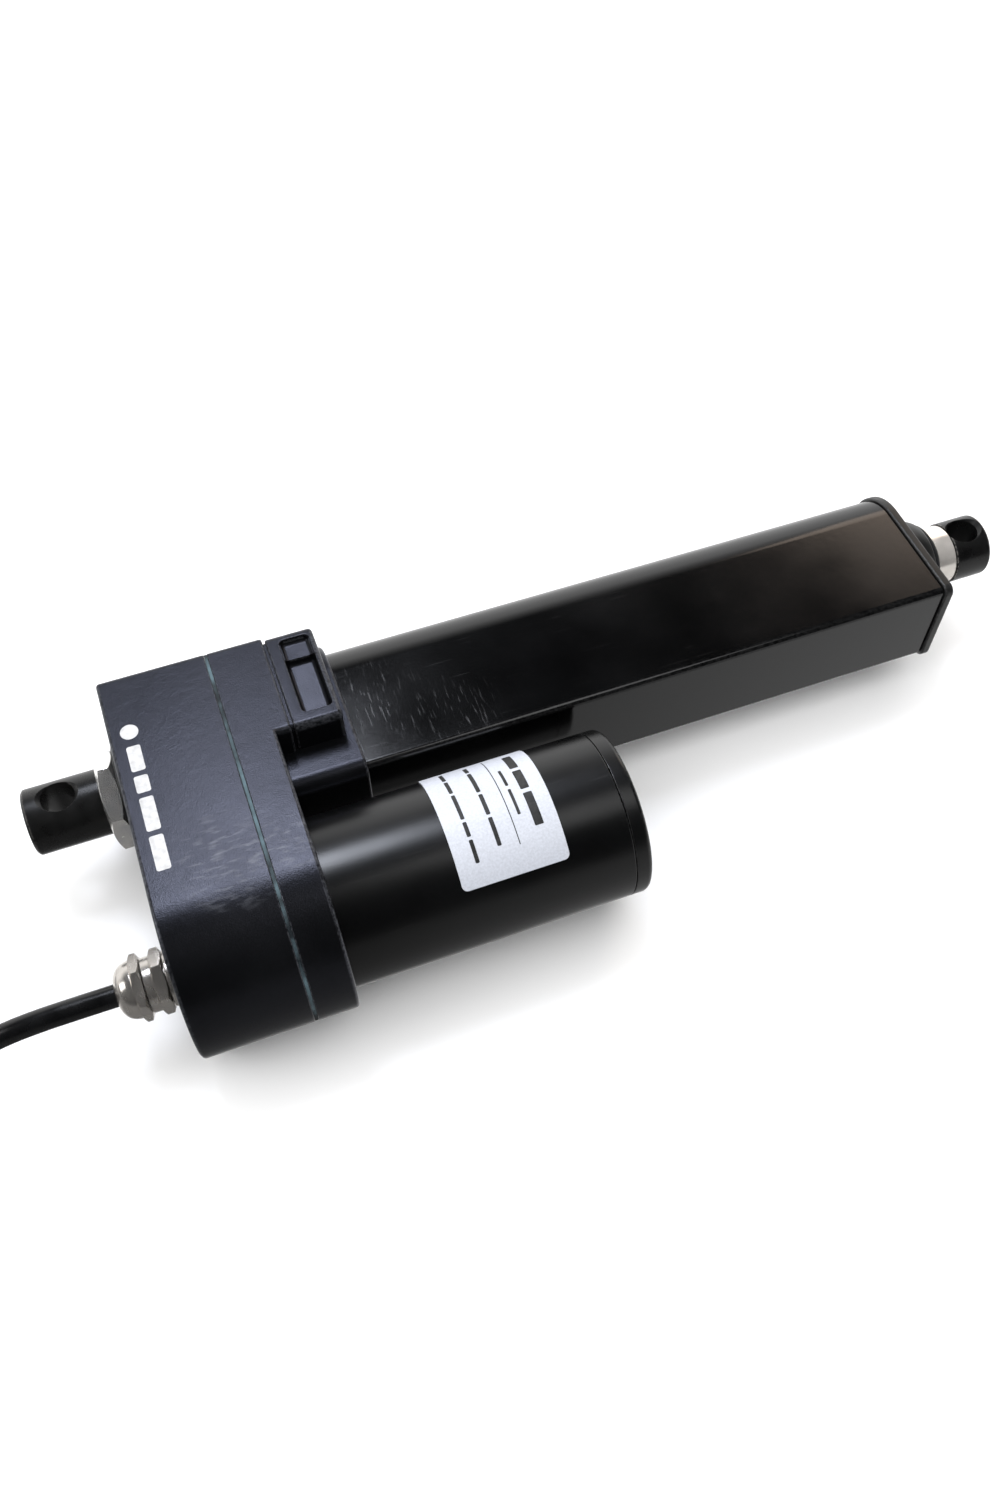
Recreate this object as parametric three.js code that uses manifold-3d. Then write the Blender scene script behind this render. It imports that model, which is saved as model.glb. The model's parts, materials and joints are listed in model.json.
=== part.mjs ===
// Electric linear actuator, built as an assembly of separate pieces. Units are millimetres.
//
// The actuator lies on a broad side of its gear housing. Everything is first placed about the
// rear pin hole and the spindle axis: +X runs from the rear pin hole to the rod eye, +Z is up and
// the motor lies on the -Y side. The whole group is then moved so that the surface it lies on is
// z = 0 and the middle of its footprint, without the cable, is the origin.

import * as THREE from 'three';
import { mergeVertices } from 'three/addons/utils/BufferGeometryUtils.js';
import Module from 'manifold-3d';

const wasm = await Module();
wasm.setup();

// ---------------------------------------------------------------- driving dimensions

const GAP = 0.3;                       // kept between pieces that touch
const RETRACTED_LENGTH = 450;          // pin hole to pin hole, rod in
const STROKE = 250;

const PIN_HOLE_R = 7.5;
const FIXTURE_R = 15;
const FIXTURE_END = -15.5;             // rear end of the rear fixture
const FIXTURE_SHOULDER = 17.7;         // where the bar steps down to its threaded stub
const STUB_R = 12;
const STUB_END = 39;
const STUB_HOLE_R = STUB_R + 0.4;      // clearance round the stub
const LOCK_NUT_FLATS = 40;
const LOCK_NUT_END = 26.2;
const COLLAR_R = 22.5;

const HOUSING_REAR = 29.5;
const HOUSING_SEAM = 77.4;
const HOUSING_FRONT = 96;
const HOUSING_HALF_WIDTH = 45;         // half the size across the broad sides
const HOUSING_FAR = 29.5;              // flat far side, beyond the spindle axis
const HOUSING_CORNER_R = 3;
const HOUSING_WALL = 4;
const REAR_WALL = 5;
const FRONT_WALL_START = 89;
const GASKET_THICKNESS = 0.8;

const MOTOR_Y = -83;                   // motor axis
const MOTOR_R = 37.2;
const MOTOR_WALL = 2.5;
const MOTOR_CAN_START = 89.3;
const MOTOR_CAN_END = 221.3;
const MOTOR_CAP_END = 229;
const MOTOR_BORE_R = MOTOR_R + GAP;

const LUG_START = 102.5;               // groove between the housing and the tube lug
const LUG_END = 125;
const LUG_NEAR = -23.3;
const LUG_HALF_WIDTH = 44;
const SOCKET_END = 129;
const SOCKET_WALL = 4.2;

const TUBE_HALF_WIDTH = 24;
const TUBE_FLAT = -38.6;               // flat side, towards the motor
const TUBE_ARC_Y = 14.7;               // centre of the half-round side
const TUBE_CORNER_R = 3;
const TUBE_WALL = 3;
const TUBE_START = 104.3;
const TUBE_END = 413.4;

const CAP_FLANGE_END = 418.2;
const CAP_FLANGE_LIP = 1.4;            // flange stands proud of the tube by this much
const CAP_BOSS_END = 427.5;
const CAP_SPIGOT_START = 402;
const ROD_R = 14.6;
const ROD_BORE_R = 12.3;
const ROD_START = 149.6;
const EYE_R = 15.2;
const EYE_START = 441.5;
const EYE_END = 460.7;

const SPINDLE_R = 10;
const SPINDLE_TAIL_R = 8;
const SPINDLE_TAIL_START = 42;
const SPINDLE_SHOULDER = 84;
const SPINDLE_END = 398;

const SCREW_SHANK_R = 2;
const SCREW_HOLE_R = 2.4;
const SCREW_HEAD_R = 3.6;
const HOUSING_SCREW_PLACES = [
  [22, 36], [22, -36],
  [-110.6, 27.6], [-110.6, -27.6],
];
const CAP_SCREW_PLACES = [
  [-33, 18.4], [-33, -18.4],
  [27.4, 12.7], [27.4, -12.7],
];
const SCREW_CHANNEL_R = 4;

const GLAND_Y = -93.5;
const GLAND_TIP = 4.7;
const GLAND_THREAD_R = 8.7;
const CABLE_R = 4.8;
const CABLE_BORE_R = 5.1;

const LABEL_START = 147.3;
const LABEL_END = 193.7;
const LABEL_ANGLES = [-58, 48];        // degrees from +Z towards -Y
const LABEL_THICKNESS = 0.25;

// ---------------------------------------------------------------- materials

function finish(color, roughness, metalness) {
  return new THREE.MeshStandardMaterial({ color, roughness, metalness });
}

const PAINT = finish(0x1b1c20, 0.5, 0.2);
const GLOSS_BLACK = finish(0x101114, 0.28, 0.3);
const BLACK_PLASTIC = finish(0x17181a, 0.45, 0.0);
const BLACKENED_STEEL = finish(0x16171a, 0.35, 0.6);
const GASKET_GREY = finish(0x7d93a1, 0.7, 0.0);
const ZINC = finish(0xc9c8c4, 0.35, 0.9);
const STAINLESS = finish(0xd6d5d2, 0.22, 1.0);
const STEEL = finish(0x9a9c9f, 0.35, 0.9);
const NICKEL_BRASS = finish(0xb9b2a4, 0.28, 0.95);
const BRONZE = finish(0xa6793f, 0.4, 0.8);
const COPPER = finish(0xb0623a, 0.4, 0.8);
const MAGNET_GREY = finish(0x3a3b3d, 0.7, 0.1);
const NATURAL_PLASTIC = finish(0xd9d6c9, 0.5, 0.0);
const BOARD_GREEN = finish(0x1f5a3a, 0.5, 0.0);
const RUBBER_BLACK = finish(0x0e0e0f, 0.8, 0.0);
const CABLE_JACKET = finish(0x0c0c0d, 0.4, 0.0);
const CARBON = finish(0x2a2a2b, 0.8, 0.1);
const LABEL_WHITE = finish(0xe6e7e6, 0.4, 0.0);
const LEAD_RED = finish(0xa01e1e, 0.5, 0.0);
const LEAD_BLACK = finish(0x111111, 0.5, 0.0);

// ---------------------------------------------------------------- solids

const X_AXIS = new THREE.Vector3(1, 0, 0);
const Y_AXIS = new THREE.Vector3(0, 1, 0);
const Z_AXIS = new THREE.Vector3(0, 0, 1);

function solidOf(geometry) {
  const bare = geometry.clone();
  bare.deleteAttribute('normal');
  bare.deleteAttribute('uv');
  const merged = mergeVertices(bare, 1e-4);
  const corners = merged.index.array;
  const kept = [];
  for (let i = 0; i < corners.length; i += 3) {
    const [a, b, c] = [corners[i], corners[i + 1], corners[i + 2]];
    if (a !== b && b !== c && c !== a) kept.push(a, b, c);
  }
  return new wasm.Manifold(new wasm.Mesh({
    numProp: 3,
    vertProperties: Float32Array.from(merged.attributes.position.array),
    triVerts: Uint32Array.from(kept),
  }));
}

function geometryOf(solid) {
  const mesh = solid.getMesh();
  const geometry = new THREE.BufferGeometry();
  const places = Float32Array.from(mesh.vertProperties);
  geometry.setAttribute('position', new THREE.BufferAttribute(places, 3));
  geometry.setIndex(new THREE.BufferAttribute(Uint32Array.from(mesh.triVerts), 1));
  geometry.computeVertexNormals();
  return geometry;
}

function cut(geometry, ...tools) {
  return geometryOf(tools.reduce((left, tool) => left.subtract(solidOf(tool)), solidOf(geometry)));
}

function join(...geometries) {
  return geometryOf(geometries.map(solidOf).reduce((sum, next) => sum.add(next)));
}

// A profile of [x, radius] points turned about the X axis, or about a line parallel to it.
function turned(profile, sides, y = 0, z = 0) {
  const points = profile.map(([x, r]) => new THREE.Vector2(r, x));
  const geometry = new THREE.LatheGeometry(points, sides);
  geometry.rotateZ(-Math.PI / 2);
  return geometry.translate(0, y, z);
}

function disc(x0, x1, r, sides, y = 0, z = 0) {
  return turned([[x0, 0], [x0, r], [x1, r], [x1, 0]], sides, y, z);
}

function ring(x0, x1, inner, outer, sides, y = 0, z = 0) {
  return turned([[x0, inner], [x0, outer], [x1, outer], [x1, inner], [x0, inner]], sides, y, z);
}

// A flat outline in the Y-Z plane, extruded along X.
function prism(shape, x0, x1) {
  const geometry = new THREE.ExtrudeGeometry(shape, { depth: x1 - x0, bevelEnabled: false });
  geometry.applyMatrix4(new THREE.Matrix4().makeBasis(Y_AXIS, Z_AXIS, X_AXIS));
  return geometry.translate(x0, 0, 0);
}

function block(x0, x1, y0, y1, z0, z1) {
  const geometry = new THREE.BoxGeometry(x1 - x0, y1 - y0, z1 - z0);
  return geometry.translate((x0 + x1) / 2, (y0 + y1) / 2, (z0 + z1) / 2);
}

function hexagon(acrossFlats) {
  const cornerR = acrossFlats / Math.sqrt(3);
  const corners = Array.from({ length: 6 }, (_, i) => {
    const a = (i * Math.PI) / 3 + Math.PI / 6;
    return new THREE.Vector2(cornerR * Math.cos(a), cornerR * Math.sin(a));
  });
  return new THREE.Shape(corners);
}

function hexNut(acrossFlats, boreR, x0, x1, y = 0) {
  const body = prism(hexagon(acrossFlats), x0, x1).translate(0, y, 0);
  return cut(body, disc(x0 - 1, x1 + 1, boreR, 20, y));
}

function arc(y, z, r, from, to, steps) {
  return Array.from({ length: steps + 1 }, (_, i) => {
    const a = from + ((to - from) * i) / steps;
    return new THREE.Vector2(y + r * Math.cos(a), z + r * Math.sin(a));
  });
}

const QUARTER = Math.PI / 2;
const CORNER_STEPS = 3;

function cornerArc(y, z, r, quarter) {
  return arc(y, z, r, quarter * QUARTER, (quarter + 1) * QUARTER, CORNER_STEPS);
}

function roundedRectangle(y0, y1, z0, z1, r) {
  return new THREE.Shape([
    ...cornerArc(y1 - r, z0 + r, r, -1),
    ...cornerArc(y1 - r, z1 - r, r, 0),
    ...cornerArc(y0 + r, z1 - r, r, 1),
    ...cornerArc(y0 + r, z0 + r, r, 2),
  ]);
}

// Housing outline: square at the far side, a half circle round the motor. inset shrinks it.
function housingOutline(inset) {
  const halfWidth = HOUSING_HALF_WIDTH - inset;
  const far = HOUSING_FAR - inset;
  const r = Math.max(HOUSING_CORNER_R - inset, 1);
  return new THREE.Shape([
    ...cornerArc(far - r, r - halfWidth, r, -1),
    ...cornerArc(far - r, halfWidth - r, r, 0),
    ...arc(MOTOR_Y, 0, halfWidth, QUARTER, 3 * QUARTER, 18),
  ]);
}

// Tube outline: flat towards the motor, half round at the far side. grow offsets it outwards.
function tubeOutline(grow) {
  const halfWidth = TUBE_HALF_WIDTH + grow;
  const flat = TUBE_FLAT - grow;
  const r = Math.max(TUBE_CORNER_R + grow, 1);
  return new THREE.Shape([
    ...arc(TUBE_ARC_Y, 0, halfWidth, -QUARTER, QUARTER, 16),
    ...cornerArc(flat + r, halfWidth - r, r, 1),
    ...cornerArc(flat + r, r - halfWidth, r, 2),
  ]);
}

// ---------------------------------------------------------------- the assembly

const NEAR_EDGE = MOTOR_Y - HOUSING_HALF_WIDTH;
const FAR_EDGE = TUBE_ARC_Y + TUBE_HALF_WIDTH + CAP_FLANGE_LIP;

const actuator = new THREE.Group();
actuator.position.set(-(FIXTURE_END + EYE_END) / 2, -(NEAR_EDGE + FAR_EDGE) / 2, HOUSING_HALF_WIDTH);

function add(name, geometry, material) {
  const mesh = new THREE.Mesh(geometry, material);
  mesh.name = name;
  actuator.add(mesh);
}

// ---------------------------------------------------------------- rear fixture

const pinHole = (x) => disc(-40, 40, PIN_HOLE_R, 32).rotateY(Math.PI / 2).translate(x, 0, 0);

function rearFixture() {
  const bar = turned([
    [FIXTURE_END, 0], [FIXTURE_END, FIXTURE_R - 1], [FIXTURE_END + 1, FIXTURE_R],
    [FIXTURE_SHOULDER, FIXTURE_R], [FIXTURE_SHOULDER, STUB_R], [STUB_END, STUB_R], [STUB_END, 0],
  ], 40);
  return cut(bar, pinHole(0));
}

add('rear_fixture', rearFixture(), BLACKENED_STEEL);
add('fixture_lock_nut', hexNut(LOCK_NUT_FLATS, STUB_HOLE_R, FIXTURE_SHOULDER + GAP, LOCK_NUT_END), ZINC);
add('rear_collar', ring(LOCK_NUT_END + GAP, HOUSING_REAR - GAP, STUB_HOLE_R, COLLAR_R, 40), BLACK_PLASTIC);

// The stub screws into a cup inside the housing, which holds the thrust bearing.
const CUP_START = HOUSING_REAR + REAR_WALL + GAP;
const CUP_FLOOR = [39.4, 41.2];
const CUP_END = 52;
const CUP_R = 23.5;
const CUP_SEAT_R = 19.4;
const CUP_PASSAGE_R = 8.6;             // the spindle's tail passes through the cup's floor

add('bearing_cup', turned([
  [CUP_START, STUB_HOLE_R], [CUP_START, CUP_R], [CUP_END, CUP_R], [CUP_END, CUP_SEAT_R],
  [CUP_FLOOR[1], CUP_SEAT_R], [CUP_FLOOR[1], CUP_PASSAGE_R], [CUP_FLOOR[0], CUP_PASSAGE_R],
  [CUP_FLOOR[0], STUB_HOLE_R], [CUP_START, STUB_HOLE_R],
], 32), STEEL);
add('thrust_bearing',
  ring(CUP_FLOOR[1] + 0.4, CUP_END - 0.6, SPINDLE_TAIL_R + 0.4, CUP_SEAT_R - 0.4, 28), STEEL);

// ---------------------------------------------------------------- gear housing

const REAR_END = HOUSING_SEAM - GASKET_THICKNESS / 2 - GAP;
const FRONT_START = HOUSING_SEAM + GASKET_THICKNESS / 2 + GAP;
const SCREW_POST_R = 4.5;
const SCREW_TIP = 86.5;
const COUNTERBORE = 4.6;
const COUNTERBORE_R = SCREW_HEAD_R + 0.5;
const SCREW_HEAD_HEIGHT = 4;
const GASKET_WIDTH = 3.2;
const GROOVE_WIDTH = 1.2;
const LUG_STEP = 0.4;                  // the lug is this much smaller than the block behind it
const POCKET = { x: [109.5, 122.5], y: [-15.8, 24.8], floor: 35 };
const NUT_PASSAGE = { end: 110, r: 12.6 };
const BEARING_SEAT = { start: 94, r: 21.3 };
const MOTOR_RECESS_R = 33.6;           // makes room for the motor's front plate

function screwPosts(x0, x1) {
  return HOUSING_SCREW_PLACES.map(([y, z]) => disc(x0, x1, SCREW_POST_R, 12, y, z));
}

function screwHoles(x0, x1, r) {
  return HOUSING_SCREW_PLACES.map(([y, z]) => disc(x0, x1, r, 12, y, z));
}

function rearHousing() {
  const inside = HOUSING_REAR + REAR_WALL;
  const shell = cut(
    prism(housingOutline(0), HOUSING_REAR, REAR_END),
    prism(housingOutline(HOUSING_WALL), inside, REAR_END + 1),
  );
  return cut(
    join(shell, ...screwPosts(inside - 1, REAR_END)),
    disc(HOUSING_REAR - 1, inside + 1, STUB_HOLE_R, 32),
    disc(HOUSING_REAR - 1, inside + 1, GLAND_THREAD_R + GAP, 24, GLAND_Y),
    ...screwHoles(HOUSING_REAR - 1, HOUSING_REAR + COUNTERBORE, COUNTERBORE_R),
    ...screwHoles(HOUSING_REAR, REAR_END + 1, SCREW_HOLE_R),
  );
}

function housingGasket() {
  const x0 = HOUSING_SEAM - GASKET_THICKNESS / 2;
  const x1 = HOUSING_SEAM + GASKET_THICKNESS / 2;
  return cut(prism(housingOutline(0), x0, x1), prism(housingOutline(GASKET_WIDTH), x0 - 1, x1 + 1));
}

// Front half: shell round the gears, a thick block round the spindle bearing, and the lug
// with a pocket on each broad side that clamps the end of the tube.
function frontHousing() {
  const shell = join(
    cut(
      prism(housingOutline(0), FRONT_START, HOUSING_FRONT),
      prism(housingOutline(HOUSING_WALL), FRONT_START - 1, FRONT_WALL_START),
    ),
    ...screwPosts(FRONT_START, FRONT_WALL_START + 1),
  );
  const bearingBlock = prism(
    roundedRectangle(LUG_NEAR, HOUSING_FAR, -HOUSING_HALF_WIDTH, HOUSING_HALF_WIDTH, HOUSING_CORNER_R),
    HOUSING_FRONT - 1, LUG_START);
  const groove = prism(
    roundedRectangle(LUG_NEAR + 1.4, HOUSING_FAR - 1.6, -LUG_HALF_WIDTH + 1, LUG_HALF_WIDTH - 1, 3),
    LUG_START - 1, LUG_START + GROOVE_WIDTH);
  const lug = prism(
    roundedRectangle(LUG_NEAR + LUG_STEP, HOUSING_FAR - LUG_STEP, -LUG_HALF_WIDTH, LUG_HALF_WIDTH, 3),
    LUG_START + GROOVE_WIDTH - 0.1, LUG_END);
  const socket = prism(tubeOutline(SOCKET_WALL), HOUSING_FRONT - 1, SOCKET_END);
  const pockets = [1, -1].map((side) => {
    const floor = side * POCKET.floor;
    const outside = side * (LUG_HALF_WIDTH + 1);
    return block(...POCKET.x, ...POCKET.y, Math.min(floor, outside), Math.max(floor, outside));
  });
  return cut(
    join(shell, bearingBlock, groove, lug, socket),
    ...pockets,
    prism(tubeOutline(GAP), TUBE_START - GAP, SOCKET_END + 1),
    disc(FRONT_WALL_START - 1, NUT_PASSAGE.end, NUT_PASSAGE.r, 32),
    disc(BEARING_SEAT.start, TUBE_START, BEARING_SEAT.r, 36),
    disc(FRONT_WALL_START, HOUSING_FRONT + 1, MOTOR_BORE_R, 40, MOTOR_Y),
    disc(FRONT_WALL_START - 2, FRONT_WALL_START + 1, MOTOR_RECESS_R, 40, MOTOR_Y),
    ...screwHoles(FRONT_START - 1, SCREW_TIP + 0.5, SCREW_HOLE_R),
  );
}

add('rear_housing', rearHousing(), PAINT);
add('housing_gasket', housingGasket(), GASKET_GREY);
add('front_housing', frontHousing(), PAINT);
HOUSING_SCREW_PLACES.forEach(([y, z], i) => {
  const head = HOUSING_REAR + 0.4;
  add(`housing_screw_${i + 1}`, turned([
    [head, 0], [head, SCREW_HEAD_R],
    [head + SCREW_HEAD_HEIGHT, SCREW_HEAD_R], [head + SCREW_HEAD_HEIGHT, SCREW_SHANK_R],
    [SCREW_TIP, SCREW_SHANK_R], [SCREW_TIP, 0],
  ], 12, y, z), STEEL);
});

// ---------------------------------------------------------------- outer tube and front cap

function outerTube() {
  const shell = cut(
    prism(tubeOutline(0), TUBE_START, TUBE_END),
    prism(tubeOutline(-TUBE_WALL), TUBE_START - 1, TUBE_END + 1),
  );
  const outside = solidOf(prism(tubeOutline(-0.5), TUBE_START, TUBE_END));
  const channels = CAP_SCREW_PLACES.map(([y, z]) => {
    const channel = disc(TUBE_START, TUBE_END, SCREW_CHANNEL_R, 12, y, z);
    return geometryOf(solidOf(channel).intersect(outside));
  });
  const holes = CAP_SCREW_PLACES.map(
    ([y, z]) => disc(TUBE_START - 1, TUBE_END + 1, SCREW_HOLE_R, 12, y, z));
  return cut(join(shell, ...channels), ...holes);
}

const CAP_BOSS_R = 22.5;
const CAP_SPIGOT_R = 20.6;
const BUSH_SEAT_R = 17.8;              // bore that holds the rod guide bush
const BUSH_R = 17.5;

function frontEndCap() {
  const start = TUBE_END + GAP;
  const flange = prism(tubeOutline(CAP_FLANGE_LIP), start, CAP_FLANGE_END);
  const boss = turned([
    [start, 0], [start, CAP_BOSS_R], [CAP_FLANGE_END, CAP_BOSS_R], [CAP_FLANGE_END + 5, CAP_BOSS_R - 1],
    [CAP_BOSS_END - 1, CAP_BOSS_R - 2.5], [CAP_BOSS_END, CAP_BOSS_R - 3.7], [CAP_BOSS_END, 0],
  ], 40);
  const spigot = disc(CAP_SPIGOT_START, start + 1, CAP_SPIGOT_R, 40);
  return cut(
    join(flange, boss, spigot),
    disc(CAP_SPIGOT_START - 1, CAP_BOSS_END - 1.2, BUSH_SEAT_R, 36),
    disc(CAP_BOSS_END - 2, CAP_BOSS_END + 1, ROD_R + 0.6, 36),
    ...CAP_SCREW_PLACES.map(([y, z]) => disc(start - 1, CAP_FLANGE_END + 1, SCREW_HOLE_R, 12, y, z)),
  );
}

add('outer_tube', outerTube(), GLOSS_BLACK);
add('front_end_cap', frontEndCap(), BLACK_PLASTIC);
add('rod_guide_bush',
  ring(CAP_SPIGOT_START + 2, CAP_BOSS_END - 1.5, ROD_R + 0.4, BUSH_R, 36), NATURAL_PLASTIC);

const WIPER_START = CAP_BOSS_END + GAP;
const WIPER_END = 431;
const WIPER_BORE_R = ROD_R + GAP;
add('rod_wiper_seal', turned([
  [WIPER_START, WIPER_BORE_R], [WIPER_START, WIPER_BORE_R + 3.5], [WIPER_END - 1.4, WIPER_BORE_R + 2.7],
  [WIPER_END, WIPER_BORE_R + 0.7], [WIPER_END, WIPER_BORE_R], [WIPER_START, WIPER_BORE_R],
], 36), RUBBER_BLACK);

// ---------------------------------------------------------------- gears

const PRESSURE_ANGLE = (20 * Math.PI) / 180;
const PROFILE_SHIFT = 0.4;             // pinions gain it, wheels lose it, so pinions keep their roots
const BACKLASH = 0.14;                 // taken off each tooth's thickness
const involute = (angle) => Math.tan(angle) - angle;

// Spur gear outline with involute flanks. The first tooth points along +Y turned by phase.
function gearOutline(teeth, module, shift, phase) {
  const pitchR = (teeth * module) / 2;
  const baseR = pitchR * Math.cos(PRESSURE_ANGLE);
  const tipR = pitchR + (1 + shift) * module;
  const rootR = pitchR - (1.25 - shift) * module;
  const thickness = module * (Math.PI / 2 + 2 * shift * Math.tan(PRESSURE_ANGLE)) - BACKLASH;
  const halfAngleAt = (r) => {
    const roll = Math.acos(Math.min(1, baseR / r));
    return thickness / (2 * pitchR) + involute(PRESSURE_ANGLE) - involute(roll);
  };
  const flank = [0, 0.5, 1].map((t) => Math.max(baseR, rootR) + t * (tipR - Math.max(baseR, rootR)));
  if (baseR > rootR + 0.3 * module) flank.unshift(rootR);
  else flank[0] = rootR;
  const points = [];
  for (let tooth = 0; tooth < teeth; tooth += 1) {
    const middle = phase + (tooth * 2 * Math.PI) / teeth;
    const rising = flank.map((r) => [r, middle - halfAngleAt(r)]);
    const falling = flank.map((r) => [r, middle + halfAngleAt(r)]).reverse();
    points.push(...rising, ...falling);
  }
  return new THREE.Shape(points.map(([r, a]) => new THREE.Vector2(r * Math.cos(a), r * Math.sin(a))));
}

function toothedDisc(teeth, module, shift, phase, [x0, x1], [y, z]) {
  return prism(gearOutline(teeth, module, shift, phase), x0, x1).translate(0, y, z);
}

// Three reductions between the motor and the spindle. Each has a pinion and a wheel.
const STAGES = [
  { pinion: 12, wheel: 48, module: 0.9, layer: [71.5, 77.5] },
  { pinion: 12, wheel: 46, module: 0.9, layer: [63.7, 69.7] },
  { pinion: 12, wheel: 38, module: 1.25, layer: [55.6, 61.8] },
];
const centreDistance = ({ pinion, wheel, module }) => ((pinion + wheel) * module) / 2;

// Shaft places: the train zigzags a little, because its centre distances add up to more than
// the distance from the motor to the spindle.
const MOTOR_PLACE = [MOTOR_Y, 0];
const SPINDLE_PLACE = [0, 0];
const IDLER_B_DROP = 6;
const lastReach = centreDistance(STAGES[2]);
const IDLER_B_PLACE = [-Math.sqrt(lastReach ** 2 - IDLER_B_DROP ** 2), -IDLER_B_DROP];

function circlesMeet([y0, z0], r0, [y1, z1], r1) {
  const apart = Math.hypot(y1 - y0, z1 - z0);
  const along = (r0 ** 2 - r1 ** 2 + apart ** 2) / (2 * apart);
  const aside = Math.sqrt(r0 ** 2 - along ** 2);
  const [uy, uz] = [(y1 - y0) / apart, (z1 - z0) / apart];
  return [y0 + uy * along - uz * aside, z0 + uz * along + uy * aside];
}

const IDLER_A_PLACE = circlesMeet(
  MOTOR_PLACE, centreDistance(STAGES[0]), IDLER_B_PLACE, centreDistance(STAGES[1]));
const SHAFT_PLACES = [MOTOR_PLACE, IDLER_A_PLACE, IDLER_B_PLACE, SPINDLE_PLACE];
const PINION_NAMES = ['motor_pinion', 'idler_a_pinion_shaft', 'idler_b_pinion_shaft'];
const WHEEL_NAMES = ['idler_a_wheel', 'idler_b_wheel', 'spindle_wheel'];
const IDLER_SHAFT_R = 3;
const MOTOR_NOSE_R = 2.5;
const WHEEL_BORES = [IDLER_SHAFT_R + GAP, IDLER_SHAFT_R + GAP, SPINDLE_TAIL_R + GAP];

const PLATE_REAR = [52.5, 54.5];
const PLATE_FRONT = [79, 81];
const PLATE_OUTLINE = roundedRectangle(-102, 24, -30, 30, 8);
const PLATE_HUB_R = 12.5;              // opening round the spindle's tail
const PLATE_MOTOR_R = 9;               // opening round the motor's nose
const POST_R = 3;
const IDLER_SHAFT_START = 51;
const POST_PLACES = [[18, 26], [18, -26], [-92, 20], [-92, -20]];

STAGES.forEach((stage, i) => {
  const from = SHAFT_PLACES[i];
  const to = SHAFT_PLACES[i + 1];
  const towards = Math.atan2(to[1] - from[1], to[0] - from[0]);
  const [x0, x1] = stage.layer;
  const pinion = toothedDisc(stage.pinion, stage.module, PROFILE_SHIFT, towards, [x0 - 0.2, x1 + 0.2], from);
  const gapPhase = towards + Math.PI + Math.PI / stage.wheel;
  const wheel = toothedDisc(stage.wheel, stage.module, -PROFILE_SHIFT, gapPhase, stage.layer, to);
  // The motor pinion is pressed on the motor shaft; each idler pinion is cut on its own shaft.
  const finished = i === 0
    ? cut(pinion, disc(x0 - 1, x1 + 1, MOTOR_NOSE_R + GAP, 16, ...from))
    : join(pinion, disc(IDLER_SHAFT_START, PLATE_FRONT[1] + 0.1, IDLER_SHAFT_R, 16, ...from));
  add(PINION_NAMES[i], finished, STEEL);
  add(WHEEL_NAMES[i], cut(wheel, disc(x0 - 1, x1 + 1, WHEEL_BORES[i], 24, ...to)),
    i === 0 ? NATURAL_PLASTIC : STEEL);
});

function gearPlate([x0, x1]) {
  return cut(
    prism(PLATE_OUTLINE, x0, x1),
    disc(x0 - 1, x1 + 1, PLATE_HUB_R, 28),
    disc(x0 - 1, x1 + 1, PLATE_MOTOR_R, 24, MOTOR_Y),
    ...[IDLER_A_PLACE, IDLER_B_PLACE].map(
      (place) => disc(x0 - 1, x1 + 1, IDLER_SHAFT_R + 0.35, 16, ...place)),
  );
}

// Four posts riveted to the rear plate keep the two plates apart.
const posts = POST_PLACES.map(
  ([y, z]) => disc(PLATE_REAR[0] + 1, PLATE_FRONT[0] - GAP, POST_R, 12, y, z));
add('gear_plate_rear', join(gearPlate(PLATE_REAR), ...posts), STEEL);
add('gear_plate_front', gearPlate(PLATE_FRONT), STEEL);

// ---------------------------------------------------------------- spindle, nut and rod

add('spindle', turned([
  [SPINDLE_TAIL_START, 0], [SPINDLE_TAIL_START, SPINDLE_TAIL_R], [SPINDLE_SHOULDER, SPINDLE_TAIL_R],
  [SPINDLE_SHOULDER, SPINDLE_R], [SPINDLE_END - 1.5, SPINDLE_R],
  [SPINDLE_END, SPINDLE_R - 1.5], [SPINDLE_END, 0],
], 32), STEEL);
add('spindle_bearing',
  ring(BEARING_SEAT.start + GAP, TUBE_START - 0.7, SPINDLE_R + GAP, BEARING_SEAT.r - GAP, 32), STEEL);

const NUT_START = 131;
const NUT_END = 149;
const NUT_R = 15;
const NUT_COLLAR_END = 158;            // its thinner end sits in the rod
const GUIDE_HALF_WIDTH = 20.4;
const EYE_STUB_START = 424;

add('spindle_nut', turned([
  [NUT_START, SPINDLE_R + GAP], [NUT_START, NUT_R], [NUT_END, NUT_R], [NUT_END, ROD_BORE_R - GAP],
  [NUT_COLLAR_END, ROD_BORE_R - GAP], [NUT_COLLAR_END, SPINDLE_R + GAP],
  [NUT_START, SPINDLE_R + GAP],
], 32), BRONZE);
add('nut_guide', cut(
  prism(
    roundedRectangle(-GUIDE_HALF_WIDTH, GUIDE_HALF_WIDTH, -GUIDE_HALF_WIDTH, GUIDE_HALF_WIDTH, 6),
    NUT_START + 2, NUT_END - 2),
  disc(NUT_START, NUT_END, NUT_R + GAP, 32),
), NATURAL_PLASTIC);
add('piston_rod', ring(ROD_START, EYE_START - GAP, ROD_BORE_R, ROD_R, 40), STAINLESS);
add('rod_eye', cut(turned([
  [EYE_STUB_START, 0], [EYE_STUB_START, ROD_BORE_R - GAP], [EYE_START, ROD_BORE_R - GAP], [EYE_START, EYE_R],
  [EYE_END - 1, EYE_R], [EYE_END, EYE_R - 1], [EYE_END, 0],
], 40), pinHole(RETRACTED_LENGTH)), BLACKENED_STEEL);

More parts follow.
